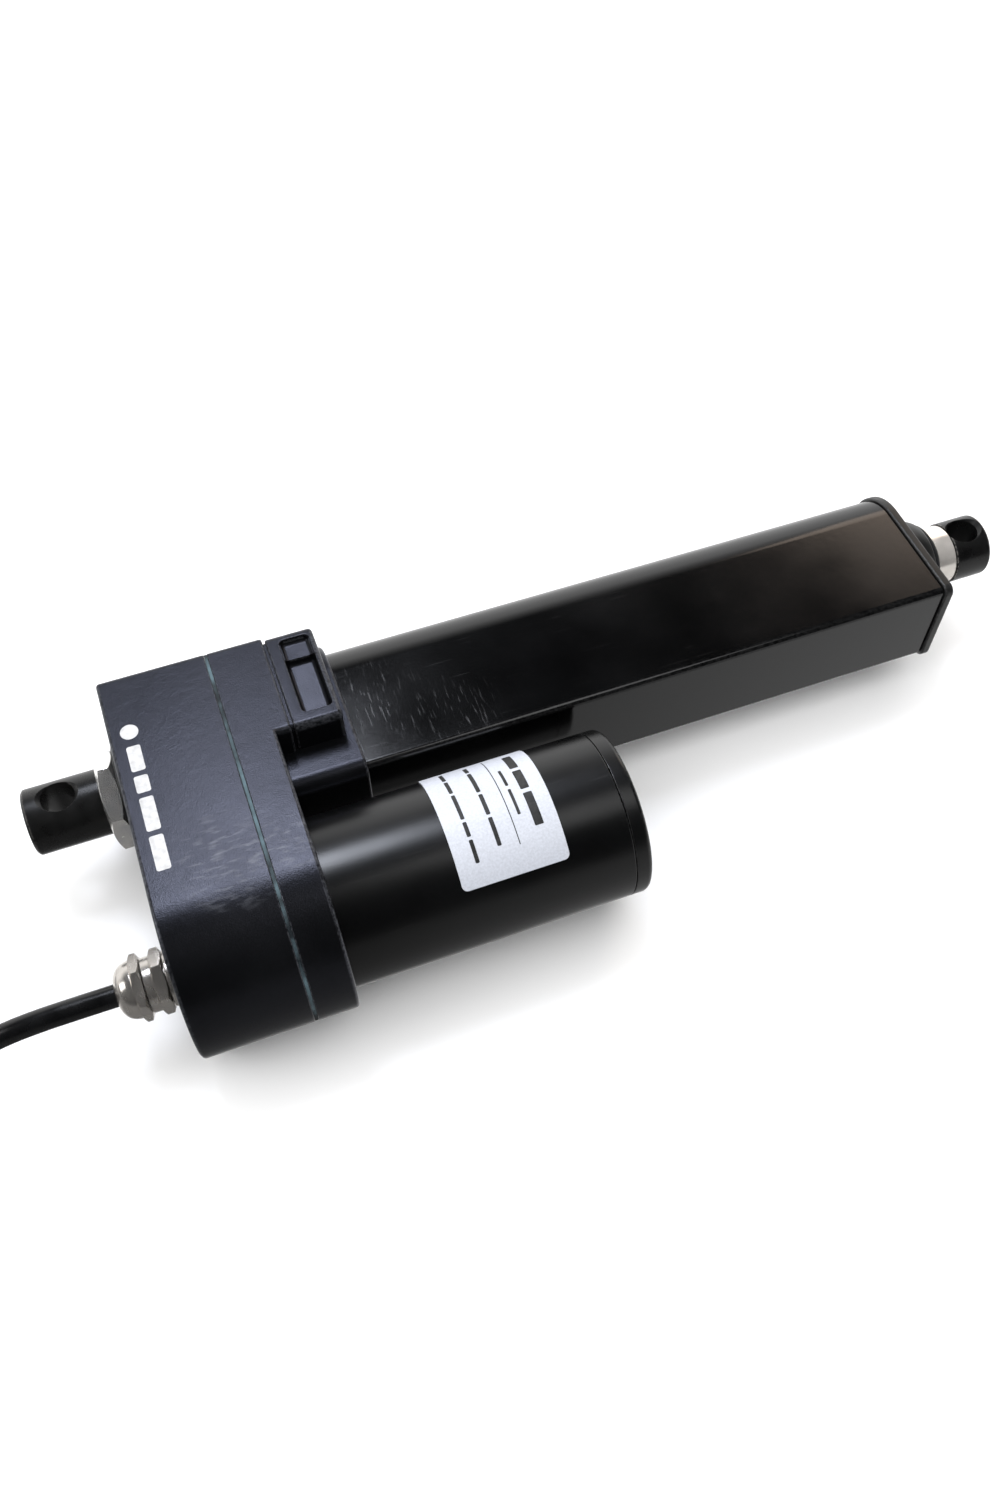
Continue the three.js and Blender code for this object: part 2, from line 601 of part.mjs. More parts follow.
// End-stop switches on a strip between the nut guide and the flat side of the tube.
const BOARD = { x: [118, 398], y: [-34.6, -33], z: [-11, 11] };
const SWITCH_LENGTH = 12;
const SWITCH_Y = [BOARD.y[1] + GAP, -22.6];
add('limit_switch_board', block(...BOARD.x, ...BOARD.y, ...BOARD.z), BOARD_GREEN);
[['limit_switch_rear', 122], ['limit_switch_front', NUT_START + STROKE + 3]].forEach(([name, x]) => {
  add(name, block(x, x + SWITCH_LENGTH, ...SWITCH_Y, -5, 5), BLACK_PLASTIC);
});

// ---------------------------------------------------------------- motor

const MOTOR_INNER_R = MOTOR_R - MOTOR_WALL;
const MOTOR_INSERT_R = MOTOR_INNER_R - 0.4;     // pieces that fit inside the can
const MOTOR_SHAFT_R = 4;
const MOTOR_PLATE_START = 81.4;
const MOTOR_PLATE_R = 33;
const FRONT_BEARING_R = 8;
const REAR_BEARING_R = 9.4;
const REAR_BEARING_SEAT_R = 9.8;
const CAP_SKIRT_START = 214;
const SHAFT_SPAN = [70.5, 219];
const MAGNET_SPAN = [108, 178];
const MAGNET_INNER_R = 29.4;
const ARMATURE_SPAN = [112, 174];
const COMMUTATOR_SPAN = [192, 207];
const COMMUTATOR_R = 12.5;
const BRUSH_RING_SPAN = [208, 210.5];
const BRUSH_SPAN = [195, 204];

const MOTOR_PLATE_END = MOTOR_CAN_START - 0.7;
add('motor_front_plate',
  ring(MOTOR_PLATE_START, MOTOR_PLATE_END, FRONT_BEARING_R + GAP, MOTOR_PLATE_R, 28, MOTOR_Y), STEEL);
add('motor_front_bearing', ring(
  MOTOR_PLATE_START + 1, MOTOR_PLATE_END - 0.3, MOTOR_SHAFT_R + GAP, FRONT_BEARING_R, 20, MOTOR_Y,
), STEEL);
add('motor_can', ring(MOTOR_CAN_START, MOTOR_CAN_END, MOTOR_INNER_R, MOTOR_R, 40, MOTOR_Y), GLOSS_BLACK);
add('motor_end_cap', turned([
  [CAP_SKIRT_START, REAR_BEARING_SEAT_R], [CAP_SKIRT_START, MOTOR_INSERT_R],
  [MOTOR_CAN_END + GAP, MOTOR_INSERT_R], [MOTOR_CAN_END + GAP, MOTOR_R],
  [MOTOR_CAP_END - 1.5, MOTOR_R], [MOTOR_CAP_END, MOTOR_R - 1.5], [MOTOR_CAP_END, 0],
  [MOTOR_CAN_END + 0.6, 0], [MOTOR_CAN_END + 0.6, REAR_BEARING_SEAT_R],
  [CAP_SKIRT_START, REAR_BEARING_SEAT_R],
], 40, MOTOR_Y), GLOSS_BLACK);
add('motor_rear_bearing', ring(
  CAP_SKIRT_START + 0.4, MOTOR_CAN_END - GAP, MOTOR_SHAFT_R + GAP, REAR_BEARING_R, 20, MOTOR_Y,
), STEEL);

function sector(x0, x1, inner, outer, from, to, steps) {
  const shape = new THREE.Shape([
    ...arc(MOTOR_Y, 0, outer, from, to, steps),
    ...arc(MOTOR_Y, 0, inner, to, from, steps),
  ]);
  return prism(shape, x0, x1);
}

const MAGNET_HALF_ANGLE = (65 * Math.PI) / 180;
[['motor_magnet_top', Math.PI / 2], ['motor_magnet_bottom', -Math.PI / 2]].forEach(([name, middle]) => {
  const from = middle - MAGNET_HALF_ANGLE;
  const to = middle + MAGNET_HALF_ANGLE;
  add(name, sector(...MAGNET_SPAN, MAGNET_INNER_R, MOTOR_INSERT_R, from, to, 10), MAGNET_GREY);
});

// One pole of the armature's lamination: radius, and angle as a share of half the pole's pitch.
const POLE_OUTLINE = [[16, -0.9], [25.5, -0.5], [28.6, -0.8], [28.6, 0.8], [25.5, 0.5], [16, 0.9]];
const ARMATURE_POLES = 12;

function armatureOutline() {
  const points = [];
  const halfPitch = Math.PI / ARMATURE_POLES;
  for (let i = 0; i < ARMATURE_POLES; i += 1) {
    for (const [r, share] of POLE_OUTLINE) {
      const angle = (2 * i + share) * halfPitch;
      points.push(new THREE.Vector2(r * Math.cos(angle), r * Math.sin(angle)));
    }
  }
  return new THREE.Shape(points);
}

add('motor_armature', cut(
  prism(armatureOutline(), ...ARMATURE_SPAN).translate(0, MOTOR_Y, 0),
  disc(ARMATURE_SPAN[0] - 1, ARMATURE_SPAN[1] + 1, MOTOR_SHAFT_R + GAP, 20, MOTOR_Y),
), STEEL);

// The copper that stands out at each end of the armature.
const WINDING_LENGTH = 13.7;
function winding(x0) {
  const x1 = x0 + WINDING_LENGTH;
  return turned([
    [x0, 7], [x0, 20], [x0 + 2.5, 25], [x1 - 2.5, 25], [x1, 20], [x1, 7], [x0, 7],
  ], 24, MOTOR_Y);
}

add('motor_winding_front', winding(ARMATURE_SPAN[0] - GAP - WINDING_LENGTH), COPPER);
add('motor_winding_rear', winding(ARMATURE_SPAN[1] + GAP), COPPER);
add('motor_commutator',
  ring(...COMMUTATOR_SPAN, MOTOR_SHAFT_R + GAP, COMMUTATOR_R, 24, MOTOR_Y), COPPER);
add('motor_shaft', turned([
  [SHAFT_SPAN[0], 0], [SHAFT_SPAN[0], MOTOR_NOSE_R], [MOTOR_PLATE_START + 0.6, MOTOR_NOSE_R],
  [MOTOR_PLATE_START + 0.6, MOTOR_SHAFT_R], [SHAFT_SPAN[1], MOTOR_SHAFT_R], [SHAFT_SPAN[1], 0],
], 16, MOTOR_Y), STEEL);
add('motor_brush_ring', ring(...BRUSH_RING_SPAN, 14, MOTOR_INSERT_R, 24, MOTOR_Y), BLACK_PLASTIC);
[['motor_brush_top', 13, 25], ['motor_brush_bottom', -25, -13]].forEach(([name, z0, z1]) => {
  add(name, block(...BRUSH_SPAN, MOTOR_Y - 3.5, MOTOR_Y + 3.5, z0, z1), CARBON);
});

const labelTurns = LABEL_ANGLES.map((degrees) => Math.PI / 2 + (degrees * Math.PI) / 180);
const labelInner = MOTOR_R + GAP;
add('rating_label',
  sector(LABEL_START, LABEL_END, labelInner, labelInner + LABEL_THICKNESS, ...labelTurns, 20),
  LABEL_WHITE);

// ---------------------------------------------------------------- cable gland

const GLAND_DOME_R = 12.2;
const GLAND_DOME_END = 12.2;
const GLAND_NUT = { flats: 24.6, end: 16.5 };
const GLAND_HEAD = { x: [16.8, 20.6], r: 11.6 };
const GLAND_HEXAGON = { flats: 24, end: 25.5 };
const GLAND_THREAD_END = 40;
const GLAND_WASHER_R = 11.8;
const GLAND_LOCK_NUT = { flats: 23, end: 38.4 };

function glandDomeNut() {
  const dome = turned([
    [GLAND_TIP, CABLE_BORE_R], [GLAND_TIP, 7], [GLAND_TIP + 1.2, 9.2], [GLAND_TIP + 3.4, 11.3],
    [GLAND_TIP + 6.4, GLAND_DOME_R], [GLAND_DOME_END, GLAND_DOME_R], [GLAND_DOME_END, CABLE_BORE_R],
    [GLAND_TIP, CABLE_BORE_R],
  ], 20, GLAND_Y);
  return join(dome, hexNut(GLAND_NUT.flats, CABLE_BORE_R, GLAND_DOME_END - 0.2, GLAND_NUT.end, GLAND_Y));
}

function glandBody() {
  const head = ring(...GLAND_HEAD.x, CABLE_BORE_R, GLAND_HEAD.r, 20, GLAND_Y);
  const hex = hexNut(
    GLAND_HEXAGON.flats, CABLE_BORE_R, GLAND_HEAD.x[1] - 0.1, GLAND_HEXAGON.end, GLAND_Y);
  const thread = ring(
    GLAND_HEXAGON.end - 0.1, GLAND_THREAD_END, CABLE_BORE_R, GLAND_THREAD_R, 20, GLAND_Y);
  return join(head, hex, thread);
}

add('gland_dome_nut', glandDomeNut(), NICKEL_BRASS);
add('gland_body', glandBody(), NICKEL_BRASS);
add('gland_seal_ring', ring(
  GLAND_HEXAGON.end + GAP, HOUSING_REAR - GAP, GLAND_THREAD_R + GAP, GLAND_WASHER_R, 20, GLAND_Y,
), NICKEL_BRASS);
add('gland_lock_nut', hexNut(
  GLAND_LOCK_NUT.flats, GLAND_THREAD_R + GAP, HOUSING_REAR + REAR_WALL + GAP, GLAND_LOCK_NUT.end, GLAND_Y,
), NICKEL_BRASS);

// ---------------------------------------------------------------- cable, coil and free end

// The cable leaves the gland straight, drops to the surface and runs into a flat coil of two
// layers, each with an outer and an inner turn. A strap under and round the coil holds it.
const SURFACE = -HOUSING_HALF_WIDTH;
const STRAP = 0.8;
const CABLE_LOW = SURFACE + CABLE_R + 0.2;
const COIL_OUTER_TURN_R = 62.4;
const COIL_INNER_TURN_R = 52.8;
const COIL_X = -160;
const COIL_Y = GLAND_Y + COIL_OUTER_TURN_R;
const COIL_BOTTOM = SURFACE + STRAP + GAP;
const COIL_TOP = COIL_BOTTOM + 4 * CABLE_R;

const CABLE_ROUTE = [
  [12, GLAND_Y, 0], [4.7, GLAND_Y, 0], [-10, GLAND_Y, 0], [-25, GLAND_Y, -0.2], [-38, GLAND_Y, -1.6],
  [-50, GLAND_Y, -5], [-62, GLAND_Y, -10.8], [-74, GLAND_Y, -18.5], [-86, GLAND_Y, -26.8],
  [-98, GLAND_Y, -33.8], [-110, GLAND_Y, -38], [-122, GLAND_Y, -39.2],
];

function cableAlong(points, r, halfSides, steps) {
  const section = new THREE.Shape(arc(0, 0, r, 0, 2 * Math.PI, 2 * halfSides).slice(1));
  const path = new THREE.CatmullRomCurve3(points.map(([x, y, z]) => new THREE.Vector3(x, y, z)));
  return new THREE.ExtrudeGeometry(section, { steps, extrudePath: path });
}

add('cable', cableAlong(CABLE_ROUTE, CABLE_R, 5, 32), CABLE_JACKET);

function coilRing() {
  const inner = COIL_INNER_TURN_R - CABLE_R - 0.2;
  const outer = COIL_OUTER_TURN_R + CABLE_R + 0.2;
  const profile = [
    [inner, COIL_BOTTOM], [outer, COIL_BOTTOM], [outer, COIL_TOP], [inner, COIL_TOP],
    [inner, COIL_BOTTOM],
  ];
  const geometry = new THREE.LatheGeometry(profile.map(([r, h]) => new THREE.Vector2(r, h)), 48);
  return geometry.rotateX(Math.PI / 2).translate(COIL_X, COIL_Y, 0);
}

// The strap is a flat band round the section of the coil, on its far left side.
function coilStrap() {
  const [r0, r1] = [COIL_INNER_TURN_R - CABLE_R - 1, COIL_OUTER_TURN_R + CABLE_R + 0.5];
  const [z0, z1] = [COIL_BOTTOM - GAP, COIL_TOP + GAP];
  const [x0, x1] = [COIL_X - r1, COIL_X - r0];
  const [y0, y1] = [COIL_Y - 5, COIL_Y + 5];
  return cut(
    block(x0 - STRAP, x1 + STRAP, y0, y1, z0 - STRAP, z1 + STRAP),
    block(x0, x1, y0 - 1, y1 + 1, z0, z1),
  );
}

add('cable_coil', coilRing(), CABLE_JACKET);
add('cable_strap', coilStrap(), RUBBER_BLACK);

// The free end leaves the coil at its far side and ends in a sleeve and two leads.
const END_Y = COIL_Y + COIL_OUTER_TURN_R;
const END_ROUTE = [
  [-121, END_Y, -34.6], [-114, END_Y, -37.4], [-107, END_Y, -39.2], [-100, END_Y, -39.9],
  [-94, END_Y, CABLE_LOW],
];
const SLEEVE = [-93.7, -80];
const LEAD_R = 1.3;

add('cable_end', cableAlong(END_ROUTE, CABLE_R, 5, 10), CABLE_JACKET);
add('cable_end_sleeve', disc(...SLEEVE, CABLE_R, 16, END_Y, CABLE_LOW), RUBBER_BLACK);
[['red', 2.2, LEAD_RED], ['black', -2.2, LEAD_BLACK]].forEach(([colour, aside, material]) => {
  const start = SLEEVE[1] + GAP;
  const route = [
    [start, END_Y + aside, CABLE_LOW], [start + 6, END_Y + aside, CABLE_LOW - 0.4],
    [start + 14, END_Y + 1.6 * aside, CABLE_LOW - 2], [start + 22, END_Y + 2 * aside, SURFACE + 1.6],
  ];
  add(`lead_${colour}`, cableAlong(route, LEAD_R, 4, 8), material);
});

export default actuator;
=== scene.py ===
# The looks of an electric linear actuator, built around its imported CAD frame.
#
# Every shape below is made in the axis frame and in millimetres: x runs along the spindle from
# the rear pin hole, y and z are measured from the spindle's axis, and the motor lies at -y.
# piece() turns a finished shape into metres in the row frame. Sizes that the frame states are
# read from it; the rest are details too small for the CAD solids.

import json
import math
from collections import namedtuple

import bmesh
import bpy
from mathutils import Matrix, Vector

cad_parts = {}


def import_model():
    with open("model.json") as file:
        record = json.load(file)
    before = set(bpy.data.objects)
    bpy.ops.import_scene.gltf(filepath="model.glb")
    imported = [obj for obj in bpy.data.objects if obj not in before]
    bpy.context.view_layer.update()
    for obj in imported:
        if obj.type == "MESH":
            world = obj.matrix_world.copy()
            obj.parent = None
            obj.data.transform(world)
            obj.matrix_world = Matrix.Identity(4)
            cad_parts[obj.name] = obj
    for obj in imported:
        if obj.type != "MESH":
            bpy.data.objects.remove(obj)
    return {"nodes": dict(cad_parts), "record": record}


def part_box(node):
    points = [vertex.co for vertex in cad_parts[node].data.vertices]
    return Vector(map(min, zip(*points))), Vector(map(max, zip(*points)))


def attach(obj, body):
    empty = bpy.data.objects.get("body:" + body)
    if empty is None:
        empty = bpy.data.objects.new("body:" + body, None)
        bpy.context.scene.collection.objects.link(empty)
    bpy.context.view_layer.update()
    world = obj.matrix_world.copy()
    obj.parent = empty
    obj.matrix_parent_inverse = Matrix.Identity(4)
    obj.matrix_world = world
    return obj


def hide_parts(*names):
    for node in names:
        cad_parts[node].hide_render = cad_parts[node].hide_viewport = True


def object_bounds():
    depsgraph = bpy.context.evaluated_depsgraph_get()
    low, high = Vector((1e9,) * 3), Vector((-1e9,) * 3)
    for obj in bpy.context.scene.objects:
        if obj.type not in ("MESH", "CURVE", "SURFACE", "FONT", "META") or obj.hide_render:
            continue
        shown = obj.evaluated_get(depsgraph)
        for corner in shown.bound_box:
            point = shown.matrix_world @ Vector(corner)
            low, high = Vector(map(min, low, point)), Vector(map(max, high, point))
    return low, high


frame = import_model()
cad_box = [list(corner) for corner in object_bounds()]

# ---------------------------------------------------------------- places from the frame

MM = 0.001
GAP = 0.3                    # left between pieces that touch
FLUSH = 0.02                 # ink stands this far off what it is printed on

Span = namedtuple("Span", "x0 x1 y0 y1 z0 z1")

openings = {o["name"]: [Vector(c) for c in o["box_m"]] for o in frame["record"]["physics"]["openings"]}
axis_origin = sum(openings["rear_pin_hole"], Vector()) / 2
eye_hole_x = (sum(openings["rod_eye_hole"], Vector()) / 2 - axis_origin).x / MM


def span(node):
    low, high = ((Vector(corner) - axis_origin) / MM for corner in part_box(node))
    return Span(low.x, high.x, low.y, high.y, low.z, high.z)


def in_row(x, y, z):
    return axis_origin + Vector((x, y, z)) * MM


rear = span("rear_housing")
front = span("front_housing")
tube = span("outer_tube")
cap = span("front_end_cap")
motor = span("motor_can")
fixture = span("rear_fixture")
eye = span("rod_eye")
rod = span("piston_rod")
dome = span("gland_dome_nut")
gland = span("gland_body")

HALF_WIDTH = rear.z1
MOTOR_Y = (motor.y0 + motor.y1) / 2
MOTOR_R = motor.z1
GLAND_Y = (dome.y0 + dome.y1) / 2
BAR_R = fixture.z1
ROD_R = rod.z1
TUBE_R = tube.z1             # half the tube's width, and the radius of its round side
TUBE_ARC_Y = tube.y1 - TUBE_R
SURFACE = rear.z0

# ---------------------------------------------------------------- meshes

TURN_SIDES = 96


def softened(points, radius, steps=3):
    """The same line of 2-D points with rounded corners. A point's third number is its own radius.
    A line that ends where it starts is rounded there too."""
    closed = tuple(points[0][:2]) == tuple(points[-1][:2])
    line = points[:-1] if closed else points
    rounded = []
    for i, point in enumerate(line):
        here = Vector(point[:2])
        if not closed and i in (0, len(line) - 1):
            rounded.append(here)
            continue
        back = Vector(line[i - 1][:2]) - here
        ahead = Vector(line[(i + 1) % len(line)][:2]) - here
        wanted = point[2] if len(point) > 2 else radius
        reach = min(wanted, 0.45 * back.length, 0.45 * ahead.length)
        start = here + back.normalized() * reach
        end = here + ahead.normalized() * reach
        for step in range(steps + 1):
            t = step / steps
            rounded.append(start * (1 - t) ** 2 + here * (2 * t * (1 - t)) + end * t ** 2)
    return rounded + rounded[:1] if closed else rounded


def loft(loops, closed=False):
    """A skin over loops with the same number of points. Open lofts get end faces."""
    bm = bmesh.new()
    rows = [[bm.verts.new(point) for point in loop] for loop in loops]
    pairs = list(zip(rows, rows[1:]))
    if closed:
        pairs.append((rows[-1], rows[0]))
    for row, following in pairs:
        for i in range(len(row)):
            j = (i + 1) % len(row)
            bm.faces.new((row[i], row[j], following[j], following[i]))
    if not closed:
        bm.faces.new(rows[0])
        bm.faces.new(rows[-1])
    bmesh.ops.remove_doubles(bm, verts=bm.verts, dist=1e-4)
    bmesh.ops.recalc_face_normals(bm, faces=bm.faces)
    return bm


def turned(profile, sides=TURN_SIDES, y=0.0, z=0.0):
    """[x, radius] points turned about the x axis, or about a line parallel to it."""
    closed = tuple(profile[0]) == tuple(profile[-1])
    line = profile[:-1] if closed else profile
    bm = bmesh.new()
    rows = []
    for x, r in line:
        if r < 1e-6:
            rows.append([bm.verts.new((x, y, z))] * sides)
            continue
        turns = [2 * math.pi * i / sides for i in range(sides)]
        rows.append([bm.verts.new((x, y + r * math.cos(a), z + r * math.sin(a))) for a in turns])
    pairs = list(zip(rows, rows[1:])) + ([(rows[-1], rows[0])] if closed else [])
    for row, following in pairs:
        for i in range(sides):
            j = (i + 1) % sides
            corners = list(dict.fromkeys((row[i], row[j], following[j], following[i])))
            if len(corners) > 2:
                bm.faces.new(corners)
    bmesh.ops.recalc_face_normals(bm, faces=bm.faces)
    return bm


def ring(x0, x1, inner, outer, radius, y=0.0, z=0.0, sides=TURN_SIDES):
    profile = [(x0, inner), (x0, outer), (x1, outer), (x1, inner), (x0, inner)]
    return turned(softened(profile, radius), sides, y, z)


def round_bar(x0, x1, r, y=0.0, z=0.0, sides=TURN_SIDES):
    return turned([(x0, 0), (x0, r), (x1, r), (x1, 0)], sides, y, z)


def arc(y, z, r, start, end, steps):
    """Points on an arc in the y-z plane, angles in degrees from +y towards +z."""
    angles = [math.radians(start + (end - start) * i / steps) for i in range(steps + 1)]
    return [(y + r * math.cos(a), z + r * math.sin(a)) for a in angles]


def rounded_rectangle(y0, y1, z0, z1, r, steps=6):
    return (arc(y1 - r, z0 + r, r, -90, 0, steps) + arc(y1 - r, z1 - r, r, 0, 90, steps)
            + arc(y0 + r, z1 - r, r, 90, 180, steps) + arc(y0 + r, z0 + r, r, 180, 270, steps))


def rectangle_outline(y0, y1, z0, z1, r):
    """An outline for prism(): the rectangle, made smaller by inset on every side."""
    def outline(inset):
        return rounded_rectangle(y0 + inset, y1 - inset, z0 + inset, z1 - inset, max(r - inset, 0.4))
    return outline


CORNER = 3.0                 # of the housing's and the tube's outlines


def housing_outline(inset):
    """Square at the far side, a half circle round the motor."""
    half = HALF_WIDTH - inset
    far = rear.y1 - inset
    r = max(CORNER - inset, 0.4)
    return (arc(far - r, r - half, r, -90, 0, 6) + arc(far - r, half - r, r, 0, 90, 6)
            + arc(MOTOR_Y, 0, half, 90, 270, 72))


def tube_outline(inset):
    """Flat towards the motor, half round at the far side. A negative inset grows it."""
    half = TUBE_R - inset
    flat = tube.y0 + inset
    r = max(CORNER - inset, 0.4)
    return (arc(TUBE_ARC_Y, 0, half, -90, 90, 64) + arc(flat + r, half - r, r, 90, 180, 8)
            + arc(flat + r, r - half, r, 180, 270, 8))


def rounded_ends(x0, x1, rear_round, front_round, base=0.0):
    """Stations [x, inset] of a prism from x0 to x1 whose end edges are rounded."""
    steps = 4
    turns = [math.pi / 2 * i / steps for i in range(steps + 1)]
    start = [(x0 + rear_round * (1 - math.cos(a)), base + rear_round * (1 - math.sin(a))) for a in turns]
    end = [(x1 - front_round * (1 - math.cos(a)), base + front_round * (1 - math.sin(a))) for a in turns]
    return (start if rear_round else start[:1]) + (end[::-1] if front_round else end[:1])


def prism(outline, stations, closed=False):
    return loft([[(x, y, z) for y, z in outline(inset)] for x, inset in stations], closed)


def moved(bm, matrix):
    bm.transform(matrix)
    return bm


def upright(bm, x=0.0, y=0.0):
    """A shape turned about the x axis, stood up to run along z at (x, y)."""
    return moved(bm, Matrix.Translation((x, y, 0)) @ Matrix.Rotation(-math.pi / 2, 4, "Y"))


def as_mesh(name, bm):
    mesh = bpy.data.meshes.new(name)
    bm.to_mesh(mesh)
    bm.free()
    return mesh


def linked(name, data):
    """A new object with that data, in the scene."""
    obj = bpy.data.objects.new(name, data)
    bpy.context.scene.collection.objects.link(obj)
    return obj


def combined(base, tools, operation):
    """base with tools joined to it, cut from it or kept inside it, by Blender's boolean."""
    shapes = [linked("shape", as_mesh("shape", bm)) for bm in (base, *tools)]
    for tool in shapes[1:]:
        step = shapes[0].modifiers.new("step", "BOOLEAN")
        step.operation = operation
        step.solver = "MANIFOLD"
        step.object = tool
    result = bmesh.new()
    result.from_object(shapes[0], bpy.context.evaluated_depsgraph_get())
    for shape in shapes:
        bpy.data.meshes.remove(shape.data)
    bmesh.ops.dissolve_limit(
        result, angle_limit=math.radians(0.3), verts=result.verts, edges=result.edges)
    return result


def joined(base, *tools):
    return combined(base, tools, "UNION")


def cut(base, *tools):
    return combined(base, tools, "DIFFERENCE")


def kept_inside(base, *tools):
    return combined(base, tools, "INTERSECT")


def edges_rounded(bm, width, angle=35):
    sharp = [e for e in bm.edges if len(e.link_faces) == 2 and e.calc_face_angle(0) > math.radians(angle)]
    bmesh.ops.bevel(
        bm, geom=sharp, offset=width, segments=2, profile=0.5, affect="EDGES", clamp_overlap=True)
    return bm


NARROW = 0.6                 # a face with less area per edge length than this is part of an edge
FAINT_BEND = 0.12            # radians: less is a curved surface, not an edge
FULL_BEND = 0.35


def mark_edges(bm):
    """Stores where the outer edges are, so that the materials can wear them."""
    layer = bm.loops.layers.float.new("edge_wear")
    for face in bm.faces:
        around = face.calc_perimeter()
        if face.calc_area() > NARROW * around:
            continue
        bend = sum(e.calc_length() * e.calc_face_angle_signed(0) for e in face.edges) / max(around, 1e-6)
        worn = min(max((bend - FAINT_BEND) / (FULL_BEND - FAINT_BEND), 0), 1)
        for corner in face.loops:
            corner[layer] = worn


def piece(name, bm, look, stands_for=(), body="housing", sharp=40):
    """A finished piece in metres, with its material, the nodes it stands for and the body it rides on."""
    mark_edges(bm)
    bm.transform(Matrix.Translation(axis_origin) @ Matrix.Scale(MM, 4))
    mesh = as_mesh(name, bm)
    mesh.shade_smooth()
    mesh.set_sharp_from_angle(angle=math.radians(sharp))
    obj = linked(name, mesh)
    obj.modifiers.new("shading", "WEIGHTED_NORMAL").keep_sharp = True
    return finished(obj, look, stands_for, body)


def finished(obj, look, stands_for=(), body="housing"):
    obj.data.materials.append(looks[look])
    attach(obj, body)
    if stands_for:
        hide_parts(*stands_for)
    return obj


# ---------------------------------------------------------------- materials


class Nodes:
    """Short calls that add nodes to a node tree."""

    def __init__(self, tree):
        self.tree = tree

    def node(self, kind, inputs, output=0, **settings):
        """Adds a node. inputs is {socket name or number: a value or another node's socket}."""
        made = self.tree.nodes.new(kind)
        for key, value in settings.items():
            setattr(made, key, value)
        for key, value in inputs.items():
            if isinstance(value, bpy.types.NodeSocket):
                self.tree.links.new(value, made.inputs[key])
            else:
                made.inputs[key].default_value = value
        return made.outputs[output]

    def between(self, value, low, high, to_low=0.0, to_high=1.0):
        inputs = {"Value": value, "From Min": low, "From Max": high, "To Min": to_low, "To Max": to_high}
        return self.node("ShaderNodeMapRange", inputs)

    def level(self, share, low, high):
        """low where share is 0, high where it is 1."""
        return self.between(share, 0, 1, low, high)

    def sum(self, a, b):
        return self.node("ShaderNodeMath", {0: a, 1: b}, operation="ADD")

    def times(self, a, b):
        return self.node("ShaderNodeMath", {0: a, 1: b}, operation="MULTIPLY")

    def mixed(self, share, a, b):
        return self.node("ShaderNodeMix", {0: share, 6: a, 7: b}, output=2, data_type="RGBA")


class Look(Nodes):
    """A material and the calls that shape its surface. Lengths in it are metres."""

    def __init__(self, name, **constants):
        self.material = bpy.data.materials.new(name)
        self.material.use_nodes = True
        super().__init__(self.material.node_tree)
        self.shader = self.tree.nodes["Principled BSDF"]
        for socket, value in constants.items():
            self.shader.inputs[socket.replace("_", " ")].default_value = value
        self.coords = self.tree.nodes.new("ShaderNodeTexCoord").outputs["Object"]

    def stretched(self, x, y, z):
        return self.node("ShaderNodeMapping", {"Vector": self.coords, "Scale": (x, y, z)})

    def noise(self, size, detail=3.0, vector=None):
        """Noise with features of that size."""
        place = self.coords if vector is None else vector
        return self.node("ShaderNodeTexNoise", {"Vector": place, "Scale": 1 / size, "Detail": detail})

    def cloud(self, size, detail=4):
        """Soft blotches from 0 to 1."""
        return self.between(self.noise(size, detail), 0.3, 0.7)

    def edge_wear(self, size, amount):
        """1 on worn outer edges, broken up by noise."""
        edge = self.node("ShaderNodeAttribute", {}, output=2, attribute_name="edge_wear")
        broken = self.between(self.noise(size, 4), 0.38, 0.62)
        return self.times(self.times(edge, broken), amount)

    def specks(self, spacing, reach, cover):
        """Small dots, on the share of the surface that cover says."""
        inputs = {"Vector": self.coords, "Scale": 1 / spacing}
        dots = self.between(self.node("ShaderNodeTexVoronoi", inputs), reach, reach * 0.6)
        return self.times(dots, self.between(self.noise(spacing * 9), 1 - cover, 1.05 - cover))

    def patch(self, middle, radius, streaks):
        """Fine marks inside a soft ball, whose place and radius are the axis frame's."""
        away = self.node(
            "ShaderNodeVectorMath", {0: self.coords, 1: in_row(*middle)}, output=1, operation="DISTANCE")
        near = self.between(away, radius * MM, radius * MM * 0.35)
        return self.times(near, streaks)

    def bumped(self, height, depth, normal=None):
        inputs = {"Height": height, "Distance": depth, "Strength": 1.0}
        if normal is not None:
            inputs["Normal"] = normal
        return self.node("ShaderNodeBump", inputs)

    def done(self, colour=None, roughness=None, normal=None):
        wires = {"Base Color": colour, "Roughness": roughness, "Normal": normal}
        for socket, source in wires.items():
            if source is not None:
                self.tree.links.new(source, self.shader.inputs[socket])
        return self.material


def grey(level, tint=(1, 1, 1)):
    """That level of the tint, with its alpha."""
    return tuple(level * part for part in tint) + (1.0,)


COOL = (0.96, 1.0, 1.1)
WARM = (1.06, 1.0, 0.93)


# Places of the axis frame with handling marks, and how far the marks reach.
RUBBED_HOUSING = [((62.9, -74, HALF_WIDTH), 26), ((88, -76, HALF_WIDTH), 16)]
SCRATCHED_TUBE = [((140, -8, TUBE_R), 30), ((176, -24, TUBE_R), 22)]


